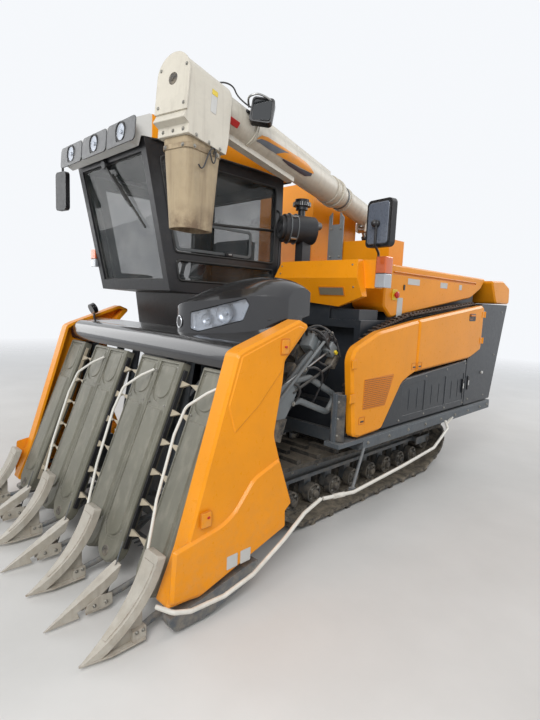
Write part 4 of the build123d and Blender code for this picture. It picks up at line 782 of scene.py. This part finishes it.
def auger_decal():
    """Plain swoosh of bands laid on the tube's side, without lettering."""
    # Stations of each band: place along the tube, lower and upper angle in degrees
    bands = (
        ("decal_grey", "decal_grey", 0.0022,
         ((-2.535, -42, -38), (-2.49, -40, -23), (-2.38, -40, -19), (-2.25, -36, -14), (-2.12, -26, -8),
          (-1.99, -8, -2))),
        ("decal_orange_upper", "orange", 0.003,
         ((-2.54, -35, -32), (-2.51, -27, -16), (-2.44, -21, -9), (-2.34, -17, -7), (-2.2, -11, -3),
          (-2.04, -3, 0))),
        ("decal_dark", "decal", 0.0026,
         ((-2.2, -43, -38), (-2.1, -47, -34), (-1.96, -46, -30), (-1.86, -44, -24), (-1.79, -30, -18))),
        ("decal_orange_lower", "orange", 0.0034,
         ((-2.29, -39, -36), (-2.22, -37, -18), (-2.14, -34, -7), (-2.03, -29, 1), (-1.92, -25, 3),
          (-1.83, -22, -4), (-1.775, -18, -13))),
    )
    for name, finish, lift, stations in bands:
        bm = bmesh.new()
        rows = []
        for first, last in zip(stations, stations[1:]):
            for k in range(6):
                y, low, high = (a + (b - a) * k / 6 for a, b in zip(first, last))
                rows.append((y, low, high))
        rows.append(stations[-1])
        rings = []
        radius = TUBE_RADIUS + lift
        for y, low, high in rows:
            turns = [(low + (high - low) * m / 8) * DEG for m in range(9)]
            rings.append([bm.verts.new((radius * math.cos(t), y, radius * math.sin(t))) for t in turns])
        for a, b in zip(rings, rings[1:]):
            for m in range(8):
                bm.faces.new((a[m], a[m + 1], b[m + 1], b[m]))
        piece(name, bm, finish, "auger_end", AUGER)


def auger_trim():
    """Bolts, weld beads, blank plate, reflector, lamp lens and the wires of the auger."""
    auger_decal()
    flange = [AUGER @ put(side * 0.122, y, -0.29, ry=side * 90) for side in (-1, 1)
              for y in (-2.93, -3.03, -3.14)]
    flange += [AUGER @ put(x, -3.206, -0.276, rx=90) for x in (-0.08, 0.0, 0.08)]
    bolts("end_box_bolts", flange, 0.012, "auger_end")
    front = [AUGER @ put(x, -3.241, z, rx=90) for z in (0.06, -0.15) for x in (-0.1, 0.1)]
    bolts("end_box_front_bolts", front, 0.011, "auger_end")
    hub = ((0.0, 0.012), (0.012, 0.012), (0.013, 0.004), (0.03, 0.003), (0.033, -0.004))
    lathe("end_bearing", hub, "cast", "auger_end", AUGER @ put(0, -3.2375, 0, rx=90))
    slab("end_box_plate", rect(0.05, 0.13, 0.006), 0, 0.0012, "blank_plate", "auger_end",
         AUGER @ put(0.122, -3.02, -0.05, ry=90) @ put(0, 0, 0, rz=90), 0)
    slab("end_box_plate_band", rect(0.05, 0.03, 0.004), 0.0012, 0.002, "yellow", "auger_end",
         AUGER @ put(0.122, -3.02, 0.0, ry=90) @ put(0, 0, 0, rz=90), 0)
    slab("red_reflector", rect(0.1, 0.04, 0.006), 0, 0.005, "red", "auger_end",
         AUGER @ put(0.098, -2.8, -0.068, ry=124) @ put(0, 0, 0, rz=90), 0.0015)
    beads = ((-1.29, 0.1225), (-1.312, 0.1225), (-2.56, 0.1215), (-2.582, 0.1215), (-1.18, 0.127),
             (-1.215, 0.127))
    for k, (y, radius) in enumerate(beads):
        ring = [(x, y, z) for x, z in ellipse(radius, radius)]
        wire("tube_ring_bead_%d" % k, ring, 0.003, "ivory", "auger_end", AUGER, **CLOSED)
    clamp = [AUGER @ put(0.0, -1.301, 0.122), AUGER @ put(0.0, -2.571, 0.121)]
    bolts("tube_clamp_bolts", clamp, 0.012, "auger_end")
    lamp = AUGER @ put(0.182, -2.622, 0.056, rx=-8, rz=30)
    slab("work_lamp_glass", rect(0.118, 0.138, 0.018), 0, 0.004, "mirror_dark", "auger_end",
         lamp @ put(0, -0.027, 0, rx=90), 0.001)
    bm = bmesh.new()
    for k in range(7):
        add_prism(bm, rect(0.1, 0.005), 0, 0.016, 0.8, lamp @ put(0, 0.051, -0.045 + 0.015 * k, rx=-90))
    piece("work_lamp_fins", bm, "black", "auger_end", bevel=0.001)
    yoke = [(0.098, -2.66, 0.09), (0.11, -2.7, 0.12), (0.15, -2.72, 0.13), (0.2, -2.68, 0.15),
            (0.235, -2.61, 0.13)]
    wire("work_lamp_yoke", yoke, 0.007, "steel", "auger_end", AUGER)
    lead = [(0.03, -2.9, 0.14), (0.04, -2.86, 0.165), (0.07, -2.8, 0.16), (0.06, -2.75, 0.13),
            (0.1, -2.7, 0.09), (0.14, -2.66, 0.07), (0.15, -2.6, 0.06)]
    wire("work_lamp_lead", lead, 0.005, "hose", "auger_end", AUGER)


def spout_trim():
    """Clamp band with bolts, and the hook of wire on the spout's side."""
    top = AUGER @ Vector((0, -3.039, -0.303))
    place = Matrix.Translation(top) @ Matrix.Rotation(11 * DEG, 4, "Z")
    bm = bmesh.new()
    add_frame(bm, rect(0.222, 0.308, 0.04), rect(0.2145, 0.3005, 0.036), -0.05, -0.022)
    piece("spout_band", bm, "tan", "auger_end", place, 0.002)
    places = [place @ put(x, -0.154, -0.036, rx=90) for x in (-0.07, 0.07)]
    places += [place @ put(0.111, y, -0.036, ry=90) for y in (-0.1, 0.1)]
    bolts("spout_band_bolts", places, 0.012, "auger_end")
    hook = [(0.112, 0.06, -0.04), (0.122, 0.07, -0.02), (0.124, 0.05, -0.005), (0.12, 0.02, -0.03),
            (0.118, -0.01, -0.1), (0.118, -0.03, -0.14), (0.12, -0.06, -0.15), (0.122, -0.075, -0.13)]
    wire("spout_hook", hook, 0.0045, "hose", "auger_end", place)
    hook = [(0.12, 0.02, -0.03), (0.122, 0.035, -0.08), (0.122, 0.055, -0.1), (0.12, 0.075, -0.07),
            (0.118, 0.08, -0.02)]
    wire("spout_hook_loop", hook, 0.004, "hose", "auger_end", place)


def auger_rest():
    """Strap round the inner tube and the bolts of its rest."""
    ring = ellipse(0.11, 0.11)
    bm = bmesh.new()
    rows = []
    for y in (-1.072, -1.052):
        rows.append([[bm.verts.new((x * size, y, z * size)) for size in (0.968, 1.0)] for x, z in ring])
    for m in range(len(ring)):
        j = (m + 1) % len(ring)
        (a, b), (c, d) = rows[0][m], rows[0][j]
        (e, f), (g, h) = rows[1][m], rows[1][j]
        for face in ((b, d, h, f), (a, e, g, c), (a, c, d, b), (e, f, h, g)):
            bm.faces.new(face)
    piece("tube_strap", bm, "grey_rubber", "auger_arm", AUGER)
    bolts("rest_bolts", [put(x, 0.4395, z, rx=90) for x in (0.02, 0.13) for z in (2.02, 2.12, 2.38)],
          0.013, "base")


def air_cleaner_trim():
    """Bands, clips, lid and hose of the air cleaner, and the rain cap's slots."""
    start, end = Vector((0.178, -0.395, 2.268)), Vector((0.3, -0.165, 2.262))
    along = (end - start).normalized()
    for k, share in enumerate((0.155, 0.38)):
        place = facing(start + (end - start) * share, along)
        ring = [(x, y, 0) for x, y in ellipse(0.1195, 0.1195)]
        wire("cleaner_band_%d" % k, ring, 0.0045, "grey_rubber", "base", place, **CLOSED)
    face = facing(start - along * 0.025, -along)
    dish = ((0.0, 0.006), (0.03, 0.006), (0.035, 0.0), (0.06, 0.0), (0.066, 0.006), (0.09, 0.004),
            (0.094, -0.004))
    lathe("cleaner_lid", dish, "black", "base", face, 48)
    hose = [(0.3, -0.15, 2.3), (0.3, -0.09, 2.31), (0.24, -0.02, 2.33), (0.14, -0.03, 2.36),
            (0.08, -0.06, 2.37)]
    wire("intake_hose", hose, 0.034, "hose", "base")
    for k in range(4):
        clip = facing(start + (end - start) * 0.26, along) @ put(0, 0, 0, rz=45 + 90 * k)
        slab("cleaner_clip_%d" % k, rect(0.05, 0.016, 0.003), -0.012, 0.012, "steel", "base",
             clip @ put(0.116, 0, 0, ry=90), 0.002)
    bm = bmesh.new()
    for k in range(24):
        turn = 15 * k
        add_prism(bm, rect(0.004, 0.03), 0, 0.003, 1.0,
                  put(0.074, -0.06, 2.5165, rz=turn) @ put(0.0765, 0, 0, rx=90, rz=90))
    piece("rain_cap_slots", bm, "steel", "base")


def header_cover_trim():
    """Latches and blank plates of the header's side covers."""
    for side, name in ((1, "left"), (-1, "right")):
        # Darker orange frames round the latches are painted shade in their recesses
        plates("header", on_side(side * 1.1275, -1.322, 1.425, side),
               ("latch_frame_" + name, 0.075, 0.095, 0.012, -0.006, 0.0025, "orange_painted_shade", 0.0015),
               ("latch_" + name, 0.06, 0.08, 0.01, 0.001, 0.006, "orange", 0.002),
               ("latch_key_" + name, 0.02, 0.012, 0.005, 0.005, 0.012, "red", 0.002))
        low = on_side(side * COVER_FACE_X, -1.852, 0.575, side)
        plates("header", low,
               ("low_latch_frame_" + name, 0.07, 0.085, 0.01, -0.006, 0.0015, "orange_painted_shade", 0.001),
               ("low_latch_" + name, 0.062, 0.077, 0.008, 0.0005, 0.0035, "orange", 0.0015))
        plates("header", low @ put(0.012, 0.01, 0),
               ("low_latch_key_" + name, 0.018, 0.012, 0.004, 0.003, 0.006, "red", 0.001))
        for k, y in enumerate((-1.67, -1.575)):
            slab("cover_plate_%s_%d" % (name, k), rect(0.075, 0.075, 0.005), 0, 0.0012, "blank_plate",
                 "header", on_side(side * COVER_FACE_X, y, 0.285, side), 0)


def case_trim():
    """Bolts and hub discs of the raising cases."""
    places = []
    bm = bmesh.new()
    for low, high in CASES_X:
        middle = (low + high) / 2
        for z in (0.2, 0.95, 1.19):
            for side in (-1, 1):
                places.append(CASE @ put(middle + side * 0.083, 0.0105 if z > 0.95 else 0.0045, z, rx=90))
        add_lathe(bm, ((0.0, 0.002), (0.012, 0.002), (0.013, 0.008), (0.03, 0.008), (0.034, 0.0)),
                  CASE @ put(middle, 0.004, 0.06, rx=90), 24)
    bolts("case_bolts", places, 0.009, "header")
    piece("case_hubs", bm, "cast", "header")


def divider_trim():
    """Bolts at the foot and web of each large divider."""
    places = []
    for x in LARGE_DIVIDERS_X:
        for y in (-2.18, -2.145):
            for side in (-1, 1):
                places.append(put(x + side * 0.026, y, 0.075, ry=side * 90))
        for y, z in ((-2.2, 0.13), (-2.17, 0.19)):
            for side in (1, -1):
                places.append(put(x + side * 0.005, y, z, ry=side * 90))
    gusset = rounded([(-2.29, 0.045), (-2.135, 0.037), (-2.135, 0.1), (-2.2, 0.112), (-2.27, 0.085)],
                     0.008, 3)
    bm = bmesh.new()
    for x in ARROW_DIVIDERS_X:
        for side in (-1, 1):
            for y, z in ((-2.17, 0.062), (-2.235, 0.066)):
                places.append(put(x + side * 0.034, y, z, ry=side * 90))
            add_prism(bm, gusset, 0.029, 0.033, 1.0, across(side, x))
    piece("arrow_gussets", bm, "divider", "header", bevel=0.001)
    bolts("divider_bolts", places, 0.011, "header")


def upper_cover_trim():
    """Blank plate and screws of the upper front cover."""
    tree = surface("upper_covers")
    point, normal = land(tree, (0.695, -2.0, 1.768), (0, 1, 0))
    place = facing(point, normal)
    # Darker orange frame round the plate is painted shade
    plates("base", place,
           ("cover_plate_frame", 0.245, 0.075, 0.008, 0, 0.003, "orange_painted_shade", 0.001),
           ("cover_plate", 0.225, 0.058, 0.006, 0.002, 0.0045, "plate_dark", 0.001))
    places = []
    for x, z in ((0.18, 1.9), (0.18, 1.96), (0.88, 1.96), (0.9, 1.8)):
        point, normal = land(tree, (x, -2.0, z), (0, 1, 0))
        if point is not None:
            places.append(facing(point, normal))
    bolts("cover_screws", places, 0.008, "base")


def lid_trim():
    """Stop button, bright strips, blank plate, edge strip and lead of the cylinder cover."""
    place = on_side(LID_FACE_X, 0.125, 1.765)
    slab("stop_button_base", rect(0.075, 0.085, 0.008), 0, 0.006, "yellow", "lid", place, 0.002)
    knob = ((0.0, 0.036), (0.018, 0.035), (0.026, 0.029), (0.027, 0.021), (0.014, 0.018), (0.014, 0.004))
    lathe("stop_button", knob, "red", "lid", place)
    slab("lid_plate", rect(0.085, 0.16, 0.006), 0, 0.0012, "blank_plate", "lid",
         on_side(LID_FACE_X, 0.215, 1.665), 0)
    slab("lid_key", rect(0.02, 0.045, 0.008), 0, 0.008, "black", "lid", on_side(LID_FACE_X, 0.262, 1.83),
         0.002)
    for k, (y, width) in enumerate(((0.42, 0.2), (0.98, 0.14), (1.34, 0.06))):
        slab("lid_strip_%d" % k, rect(width, 0.05, 0.004), 0, 0.001, "blank_plate", "lid",
             on_side(LID_FACE_X, y, 1.882), 0)
    # Gutter in darker orange: painted shade in the crease along the lid's edge
    gutter = [(0.941, y, 1.944) for y in (0.09, 0.6, 1.2, 1.69)]
    wire("lid_gutter", gutter, 0.006, "orange_painted_shade", "lid", kind="POLY")
    lead = [(1.04, -0.24, 1.9), (1.0, -0.2, 1.93), (0.97, -0.1, 1.9), (0.93, -0.03, 1.86)]
    wire("lid_lead", lead, 0.006, "hose", "base")


def door_trim():
    """Latches, air field and pull of the side doors."""
    # Air field in darker orange: painted shade over the perforated field; its holes are black
    field = rounded([(-0.43, 0.93), (-0.43, 1.15), (-0.02, 1.165), (-0.13, 0.93)], 0.012, 3)
    bm = bmesh.new()
    add_prism(bm, field, DOOR_FACE_X - 0.004, DOOR_FACE_X + 0.0012, 1.0, across())
    piece("air_field", bm, "orange_painted_shade", "front_side_door")
    bm = bmesh.new()
    for row in range(15):
        for column in range(26):
            y, z = -0.415 + column * 0.0145 + (row % 2) * 0.007, 0.942 + row * 0.0145
            if y < -0.13 + (z - 0.93) * 0.46 - 0.01:
                add_prism(bm, rect(0.0065, 0.0065), 0, 0.0006, 0.8, on_side(DOOR_FACE_X + 0.0011, y, z))
    piece("air_field_holes", bm, "black", "front_side_door", smooth=False)
    # Latch edges in darker orange: painted shade round the latch recesses
    for name, y, z, body in (("front_low", -0.43, 0.855, "front_side_door"),
                             ("front_rear", 0.275, 1.2, "front_side_door"),
                             ("rear_front", 0.37, 1.2, "rear_side_door"),
                             ("rear_top", 1.33, 1.61, "rear_side_door")):
        place = on_side(DOOR_FACE_X, y, z)
        bm = bmesh.new()
        add_frame(bm, rect(0.075, 0.055, 0.01), rect(0.067, 0.047, 0.007), 0, 0.0022)
        piece("latch_edge_" + name, bm, "orange_painted_shade", body, place)
        slab("latch_slot_" + name, rect(0.042, 0.012, 0.004), 0, 0.0025, "black", body,
             place @ put(0.006, -0.008, 0), 0.0008)
    handle = on_side(DOOR_FACE_X, 1.36, 1.6)
    slab("door_pull", rect(0.15, 0.07, 0.016), 0, 0.002, "black", "rear_side_door", handle, 0.0008)
    # Lip in darker orange: painted shade over the pull
    slab("door_pull_lip", rect(0.115, 0.016, 0.006), 0.001, 0.012, "orange_painted_shade", "rear_side_door",
         handle @ put(0, 0.018, 0), 0.003)


def panel_trim():
    """Ribs, handles and screws of the lower panel and the straw cutter's cover."""
    bm = bmesh.new()
    for y in (0.3, 0.44, 0.7, 0.84, 1.1, 1.24):
        add_prism(bm, rect(0.012, 0.22, 0.005), 0, 0.004, 0.7, on_side(1.0395, y, 0.915))
    piece("panel_ribs", bm, "panel", "base")
    screws = ((0.15, 0.76), (0.57, 0.76), (0.97, 0.76), (1.37, 0.76), (0.57, 1.09), (0.97, 1.12),
              (1.37, 1.15))
    bolts("panel_screws", [on_side(PANEL_FACE_X, y, z) for y, z in screws], 0.01, "base")
    for k, (y, z) in enumerate(((1.345, 0.93), (1.47, 0.95))):
        place = on_side(PANEL_FACE_X if k == 0 else CUTTER_FACE_X, y, z)
        plates("base", place,
               ("panel_latch_%d" % k, 0.03, 0.14, 0.008, 0, 0.01, "black", 0.003),
               ("panel_latch_tab_%d" % k, 0.02, 0.05, 0.004, 0.01, 0.0125, "blank_plate", 0.001))
    screws = ((1.5, 0.78), (1.9, 0.78), (1.72, 1.66), (2.22, 1.66), (2.1, 1.2))
    bolts("cutter_screws", [on_side(CUTTER_FACE_X, y, z) for y, z in screws], 0.011, "base")
    slab("cutter_knob", rect(0.03, 0.03, 0.014), 0, 0.02, "blank_plate", "base",
         on_side(CUTTER_FACE_X, 1.79, 1.03), 0.005)
    slab("front_upright", rect(0.1, 0.34, 0.01), 0, 0.012, "panel", "base",
         facing((1.0, -0.61, 0.885), (0.5, -0.86, 0)), 0.004)
    bolts("front_upright_bolts", [facing((1.006, -0.62, z), (0.5, -0.86, 0)) for z in (0.76, 0.88, 1.0)],
          0.01, "base")


def mechanism():
    """Motors, boxes, rods and hoses between the header and the threshing unit."""
    # Columns: middle, size, turn about X and Z, finish
    boxes = (
        ((0.86, -0.79, 1.4), (0.085, 0.12, 0.1), -35, 12, "link"),
        ((0.9, -0.7, 1.44), (0.07, 0.1, 0.06), -35, 8, "black"),
        ((0.84, -0.72, 1.33), (0.07, 0.07, 0.09), -35, 0, "link"),
        ((0.9, -0.62, 1.36), (0.06, 0.09, 0.08), -40, 5, "link"),
        ((0.83, -0.93, 1.2), (0.08, 0.13, 0.09), -48, 0, "cast"),
        ((0.88, -0.56, 1.27), (0.07, 0.06, 0.1), -35, 0, "cast"),
        ((0.74, -0.82, 1.32), (0.12, 0.1, 0.1), -40, 0, "cast"),
        ((0.84, -1.02, 1.1), (0.07, 0.1, 0.08), -46, 0, "link"),
        ((0.7, -0.62, 1.42), (0.16, 0.12, 0.08), -20, 0, "panel"),
        ((0.86, -1.1, 0.86), (0.09, 0.1, 0.16), -20, 0, "cast"),
    )
    for k, (middle, size, lean, turn, finish) in enumerate(boxes):
        place = put(*middle, rx=lean, rz=turn)
        slab("link_box_%d" % k, rect(size[0], size[1], 0.012), -size[2] / 2, size[2] / 2, finish,
             "header", place, 0.004)
    slab("yellow_tag", rect(0.035, 0.03, 0.004), 0, 0.02, "yellow", "header",
         put(0.925, -0.6, 1.33, rx=-40), 0.002)
    rods = (
        ("link_rod_a", [(0.925, -1.17, 1.03), (0.925, -0.69, 1.44)], 0.011, "link"),
        ("link_rod_b", [(0.9, -1.13, 1.12), (0.9, -0.6, 1.36)], 0.009, "steel"),
        ("link_rod_c", [(0.82, -0.97, 1.19), (0.76, -0.63, 1.42)], 0.014, "cast"),
        ("link_rod_d", [(0.913, -1.0, 1.09), (0.905, -0.56, 1.26)], 0.01, "cast"),
    )
    for name, points, radius, finish in rods:
        wire(name, points, radius, finish, "header", kind="POLY")
    hoses = (
        [(0.86, -0.83, 1.46), (0.88, -0.86, 1.5), (0.93, -0.8, 1.5), (0.94, -0.7, 1.42),
         (0.92, -0.64, 1.33)],
        [(0.8, -0.75, 1.36), (0.86, -0.7, 1.27), (0.9, -0.64, 1.24), (0.87, -0.56, 1.2), (0.8, -0.55, 1.1)],
        [(0.88, -0.9, 1.22), (0.93, -0.85, 1.26), (0.94, -0.74, 1.22), (0.9, -0.68, 1.12),
         (0.84, -0.7, 0.98)],
        [(0.76, -0.9, 1.35), (0.8, -0.82, 1.47), (0.86, -0.74, 1.53), (0.92, -0.68, 1.5),
         (0.91, -0.62, 1.42)],
        [(0.84, -1.05, 1.14), (0.92, -1.0, 1.17), (0.94, -0.94, 1.1), (0.88, -0.96, 1.0),
         (0.84, -1.0, 0.92)],
        [(0.7, -0.66, 1.45), (0.74, -0.6, 1.51), (0.82, -0.56, 1.5), (0.9, -0.55, 1.42),
         (0.93, -0.53, 1.3)],
    )
    for k, points in enumerate(hoses):
        wire("link_hose_%d" % k, points, 0.0085, "hose", "header")
    cables = []
    for first, last in ((7, 4), (4, 6), (6, 0), (0, 1), (1, 3), (3, 5), (2, 3), (6, 8), (0, 8), (4, 2)):
        start, end = Vector(boxes[first][0]), Vector(boxes[last][0])
        rise = Vector((random.uniform(0.03, 0.05), random.uniform(-0.02, 0.02), random.uniform(0.05, 0.09)))
        cables.append([start, start + rise * 0.9, (start + end) / 2 + rise * 1.2, end + rise * 0.9, end])
    for k, points in enumerate(cables):
        wire("link_cable_%d" % k, [tuple(p) for p in points], 0.0045, "hose", "header")
    spots = ((-1.16, 1.02), (-0.9, 1.24), (-0.64, 1.47), (-1.0, 1.02), (-0.6, 0.93), (-0.52, 1.0))
    bolts("link_bolts", [put(0.925, y, z, ry=90) for y, z in spots], 0.016, "header")
    plate = rounded([(-1.2, 0.93), (-1.16, 1.13), (-1.02, 1.17), (-0.96, 1.09), (-1.06, 0.93)], 0.02, 3)
    bm = bmesh.new()
    add_prism(bm, plate, 0.905, 0.917, 1.0, across())
    piece("link_plate", bm, "link", "header", bevel=0.003)


def chain_trim():
    """Rollers and pins along the feed chain's links."""
    runs = (((-0.46, 1.06), (-0.34, 1.365)), ((-0.34, 1.365), (-0.165, 1.455)),
            ((-0.165, 1.455), (0.31, 1.568)), ((0.31, 1.568), (1.58, 1.691)))
    bm = bmesh.new()
    for (y0, z0), (y1, z1) in runs:
        length = math.hypot(y1 - y0, z1 - z0)
        ny, nz = -(z1 - z0) / length, (y1 - y0) / length
        for k in range(int(length / CHAIN_PITCH)):
            share = (k + 0.5) * CHAIN_PITCH / length
            y = y0 + (y1 - y0) * share + ny * 0.037
            z = z0 + (z1 - z0) * share + nz * 0.037
            add_lathe(bm, ((0.0, 0.026), (0.006, 0.026), (0.0065, 0.024), (0.0065, 0.0)),
                      put(CHAIN_X, y, z, ry=90), 8)
            if k % 2:
                link = rounded(rect(0.044, 0.018), 0.0085, 3)
                angle = math.atan2(z1 - z0, y1 - y0) / DEG
                add_prism(bm, link, 0.018, 0.022, 1.0,
                          put(CHAIN_X, y, z) @ Matrix.Rotation(90 * DEG, 4, "Y")
                          @ Matrix.Rotation((90 - angle) * -DEG, 4, "Z"))
    piece("chain_pins", bm, "chain", "base")


def track_trim():
    """Hub caps and bolts of rollers, idlers and sprockets, and bolts of frames and rails."""
    caps = bmesh.new()
    places = []
    for side in (-1, 1):
        for y in ROLLERS_Y:
            roller_cap = ((0.0, 0.012), (0.012, 0.012), (0.026, 0.008), (0.03, 0.0))
            add_lathe(caps, roller_cap, put(side * 0.677, y, ROLLER_Z, ry=side * 90), 20)
            for k in range(4):
                t = (45 + 90 * k) * DEG
                places.append(put(side * 0.6565, y + 0.053 * math.cos(t), ROLLER_Z + 0.053 * math.sin(t),
                                  ry=side * 90))
        for k in range(6):
            t = 60 * k * DEG
            y, z = SPROCKET[0] + 0.066 * math.cos(t), SPROCKET[1] + 0.066 * math.sin(t)
            places.append(put(side * 0.64, y, z, ry=side * 90))
        sprocket_cap = ((0.0, 0.02), (0.02, 0.02), (0.036, 0.012), (0.04, 0.0))
        add_lathe(caps, sprocket_cap, put(side * 0.64, *SPROCKET, ry=side * 90), 24)
        idler_cap = ((0.0, 0.014), (0.014, 0.014), (0.026, 0.01), (0.03, 0.0))
        add_lathe(caps, idler_cap, put(side * 0.688, *IDLER, ry=side * 90), 20)
    piece("roller_caps", caps, "cast", "base")
    bolts("roller_bolts", places, 0.012, "base")
    places = [put(side * 0.595, y, 0.365, ry=side * 90) for side in (-1, 1)
              for y in (-0.6, -0.3, 0.0, 0.28, 0.56, 0.85, 1.1)]
    bolts("track_frame_bolts", places, 0.014, "base")
    places = [put(side * RAIL_X, y, RAIL_Z, ry=side * 90) for side in (1, -1)
              for y in (-0.3, 0.0, 0.3, 0.6, 0.9, 1.2, 1.5, 1.8, 2.0)]
    bolts("rail_bolts", places, 0.015, "base")


def pipe_hooks():
    """Joint sleeve of the guide pipes and the hook near their rear end."""
    sleeve = ((0.0125, -0.05), (0.0165, -0.047), (0.0165, 0.047), (0.0125, 0.05))
    lathe("pipe_sleeve", sleeve, "pipe", "base", facing((1.199, -0.822, 0.446), (0.17, 0.98, -0.04)), 20)
    hook = [(1.1, 0.94, 0.62), (1.12, 0.97, 0.66), (1.12, 1.02, 0.68), (1.09, 1.05, 0.66),
            (1.07, 1.03, 0.63)]
    wire("pipe_hook", hook, 0.007, "pipe", "base")
    bolts("guide_rod_bolts", [CASE @ put(x, -0.013, 1.15, rx=90) for x in (1.002, 0.36, -0.36)], 0.011,
          "header")


def right_side():
    """Mesh of the engine grille, joint lines of tank and housing, and their screws."""
    bm = bmesh.new()
    for k in range(9):
        z = 0.8 + k * 0.12
        for m in range(11):
            add_prism(bm, rect(0.004, 0.078), 0, 0.003, 1.0,
                      on_side(-1.0525, -0.195 + m * 0.042, z + 0.042, -1))
        for m in range(3):
            add_prism(bm, rect(0.44, 0.003), 0, 0.003, 1.0,
                      on_side(-1.053, 0.011, z + 0.02 + m * 0.022, -1))
    piece("grille_mesh", bm, "steel", "grille_door", smooth=False)
    slab("grille_latch", rect(0.05, 0.1, 0.01), 0, 0.012, "black", "grille_door",
         on_side(-1.062, -0.228, 1.34, -1), 0.003)
    for k, seam in enumerate((((0.32, 1.4), (1.31, 1.4)), ((0.82, 0.72), (0.82, 1.4)))):
        wire("tank_seam_%d" % k, [(-1.0285, y, z) for y, z in seam], 0.003, "rubber_trim", "base",
             kind="POLY")
    places = [on_side(TANK_FACE_X, y, z, -1) for y in (0.36, 1.27) for z in (0.8, 1.1, 1.35, 1.6, 1.9)]
    places += [on_side(-1.035, y, z, -1) for y in (1.4, 1.85) for z in (0.8, 1.1, 1.42)]
    bolts("right_screws", places, 0.01, "base")
    window = rounded([(0.55, 1.55), (1.05, 1.55), (1.05, 1.75), (0.55, 1.75)], 0.04, 4)
    bm = bmesh.new()
    add_prism(bm, window, 1.0275, 1.031, 1.0, across(-1))
    piece("tank_window", bm, "mirror_dark", "base", bevel=0.001)
    wire("tank_window_rubber", [(-1.031, y, z) for y, z in window], 0.006, "rubber_trim", "base", **CLOSED)


def make_camera():
    yaw, down, roll = (math.radians(v) for v in (CAMERA_YAW, CAMERA_DOWN, CAMERA_ROLL))
    forward = Vector((-math.sin(yaw) * math.cos(down), math.cos(yaw) * math.cos(down), -math.sin(down)))
    level = Vector((math.cos(yaw), math.sin(yaw), 0))
    up = level.cross(forward)
    right = math.cos(roll) * level + math.sin(roll) * up
    top = -math.sin(roll) * level + math.cos(roll) * up
    data = bpy.data.cameras.new("photo_camera")
    data.sensor_fit = "VERTICAL"
    data.sensor_height = SENSOR
    data.sensor_width = SENSOR
    data.lens = FOCAL_PIXELS / PHOTO_HEIGHT * SENSOR
    camera = bpy.data.objects.new("photo_camera", data)
    basis = Matrix((right, top, -forward)).transposed().to_4x4()
    camera.matrix_world = Matrix.Translation(CAMERA_AT) @ basis
    bpy.context.scene.collection.objects.link(camera)
    bpy.context.scene.camera = camera


def make_stage():
    mesh = bpy.data.meshes.new("floor")
    corners = [(a * FLOOR_HALF, b * FLOOR_HALF, 0) for a, b in ((-1, -1), (1, -1), (1, 1), (-1, 1))]
    mesh.from_pydata(corners, [], [(0, 1, 2, 3)])
    floor = bpy.data.objects.new("floor", mesh)
    bpy.context.scene.collection.objects.link(floor)
    n = Nodes("floor")
    tone = n.mix(n.span(n.noise(1.2, 6, 0.6), 0.3, 0.7), (0.62, 0.61, 0.59), (0.68, 0.67, 0.65))
    n.shade("Base Color", tone)
    n.shade("Roughness", 0.85)
    reach = n.add("ShaderNodeVectorMath", operation="LENGTH")
    n.feed(reach.inputs[0], n.coords)
    n.shade("Alpha", n.span(reach.outputs["Value"], 4.0, 15.0, 1.0, 0.0))
    mesh.materials.append(n.material)


def make_light():
    world = bpy.data.worlds.new("studio")
    bpy.context.scene.world = world
    world.use_nodes = True
    tree = world.node_tree
    background = tree.nodes["Background"]
    path = tree.nodes.new("ShaderNodeLightPath")
    seen = path.outputs["Is Camera Ray"]
    for ray in ("Is Glossy Ray", "Is Transmission Ray"):
        either = tree.nodes.new("ShaderNodeMath")
        either.operation = "MAXIMUM"
        tree.links.new(seen, either.inputs[0])
        tree.links.new(path.outputs[ray], either.inputs[1])
        seen = either.outputs[0]
    strength = tree.nodes.new("ShaderNodeMapRange")
    strength.inputs["To Min"].default_value = 0.5
    strength.inputs["To Max"].default_value = 1.0
    tree.links.new(seen, strength.inputs["Value"])
    tree.links.new(strength.outputs[0], background.inputs["Strength"])
    background.inputs["Color"].default_value = (0.92, 0.94, 0.97, 1)
    # Columns: place, aim, size in metres, power in watts
    lamps = (
        ("key", (4.5, -6.5, 6.0), (0, -0.5, 1.0), 4.0, 470),
        ("fill", (-6.0, -4.0, 4.0), (0, 0, 1.2), 5.0, 150),
        ("back", (3.0, 7.0, 5.5), (0, 0.5, 1.2), 4.0, 210),
    )
    for name, place, aim, size, power in lamps:
        data = bpy.data.lights.new(name, "AREA")
        data.size = size
        data.energy = power
        lamp = bpy.data.objects.new(name, data)
        lamp.location = place
        lamp.rotation_mode = "QUATERNION"
        lamp.rotation_quaternion = (Vector(aim) - Vector(place)).to_track_quat("-Z", "Y")
        bpy.context.scene.collection.objects.link(lamp)


for build in (
    roof_lamps, roof_trim, cab_windows, wiper, cab_outside, seat, mirror_trim, marker_lamps, headlight,
    hood_trim, auger_trim, spout_trim, auger_rest, air_cleaner_trim, header_cover_trim, case_trim,
    divider_trim, upper_cover_trim, lid_trim, door_trim, panel_trim, mechanism, chain_trim, track_trim,
    pipe_hooks, right_side, make_camera, make_stage, make_light,
):
    build()

bpy.context.scene.view_settings.view_transform = "Standard"
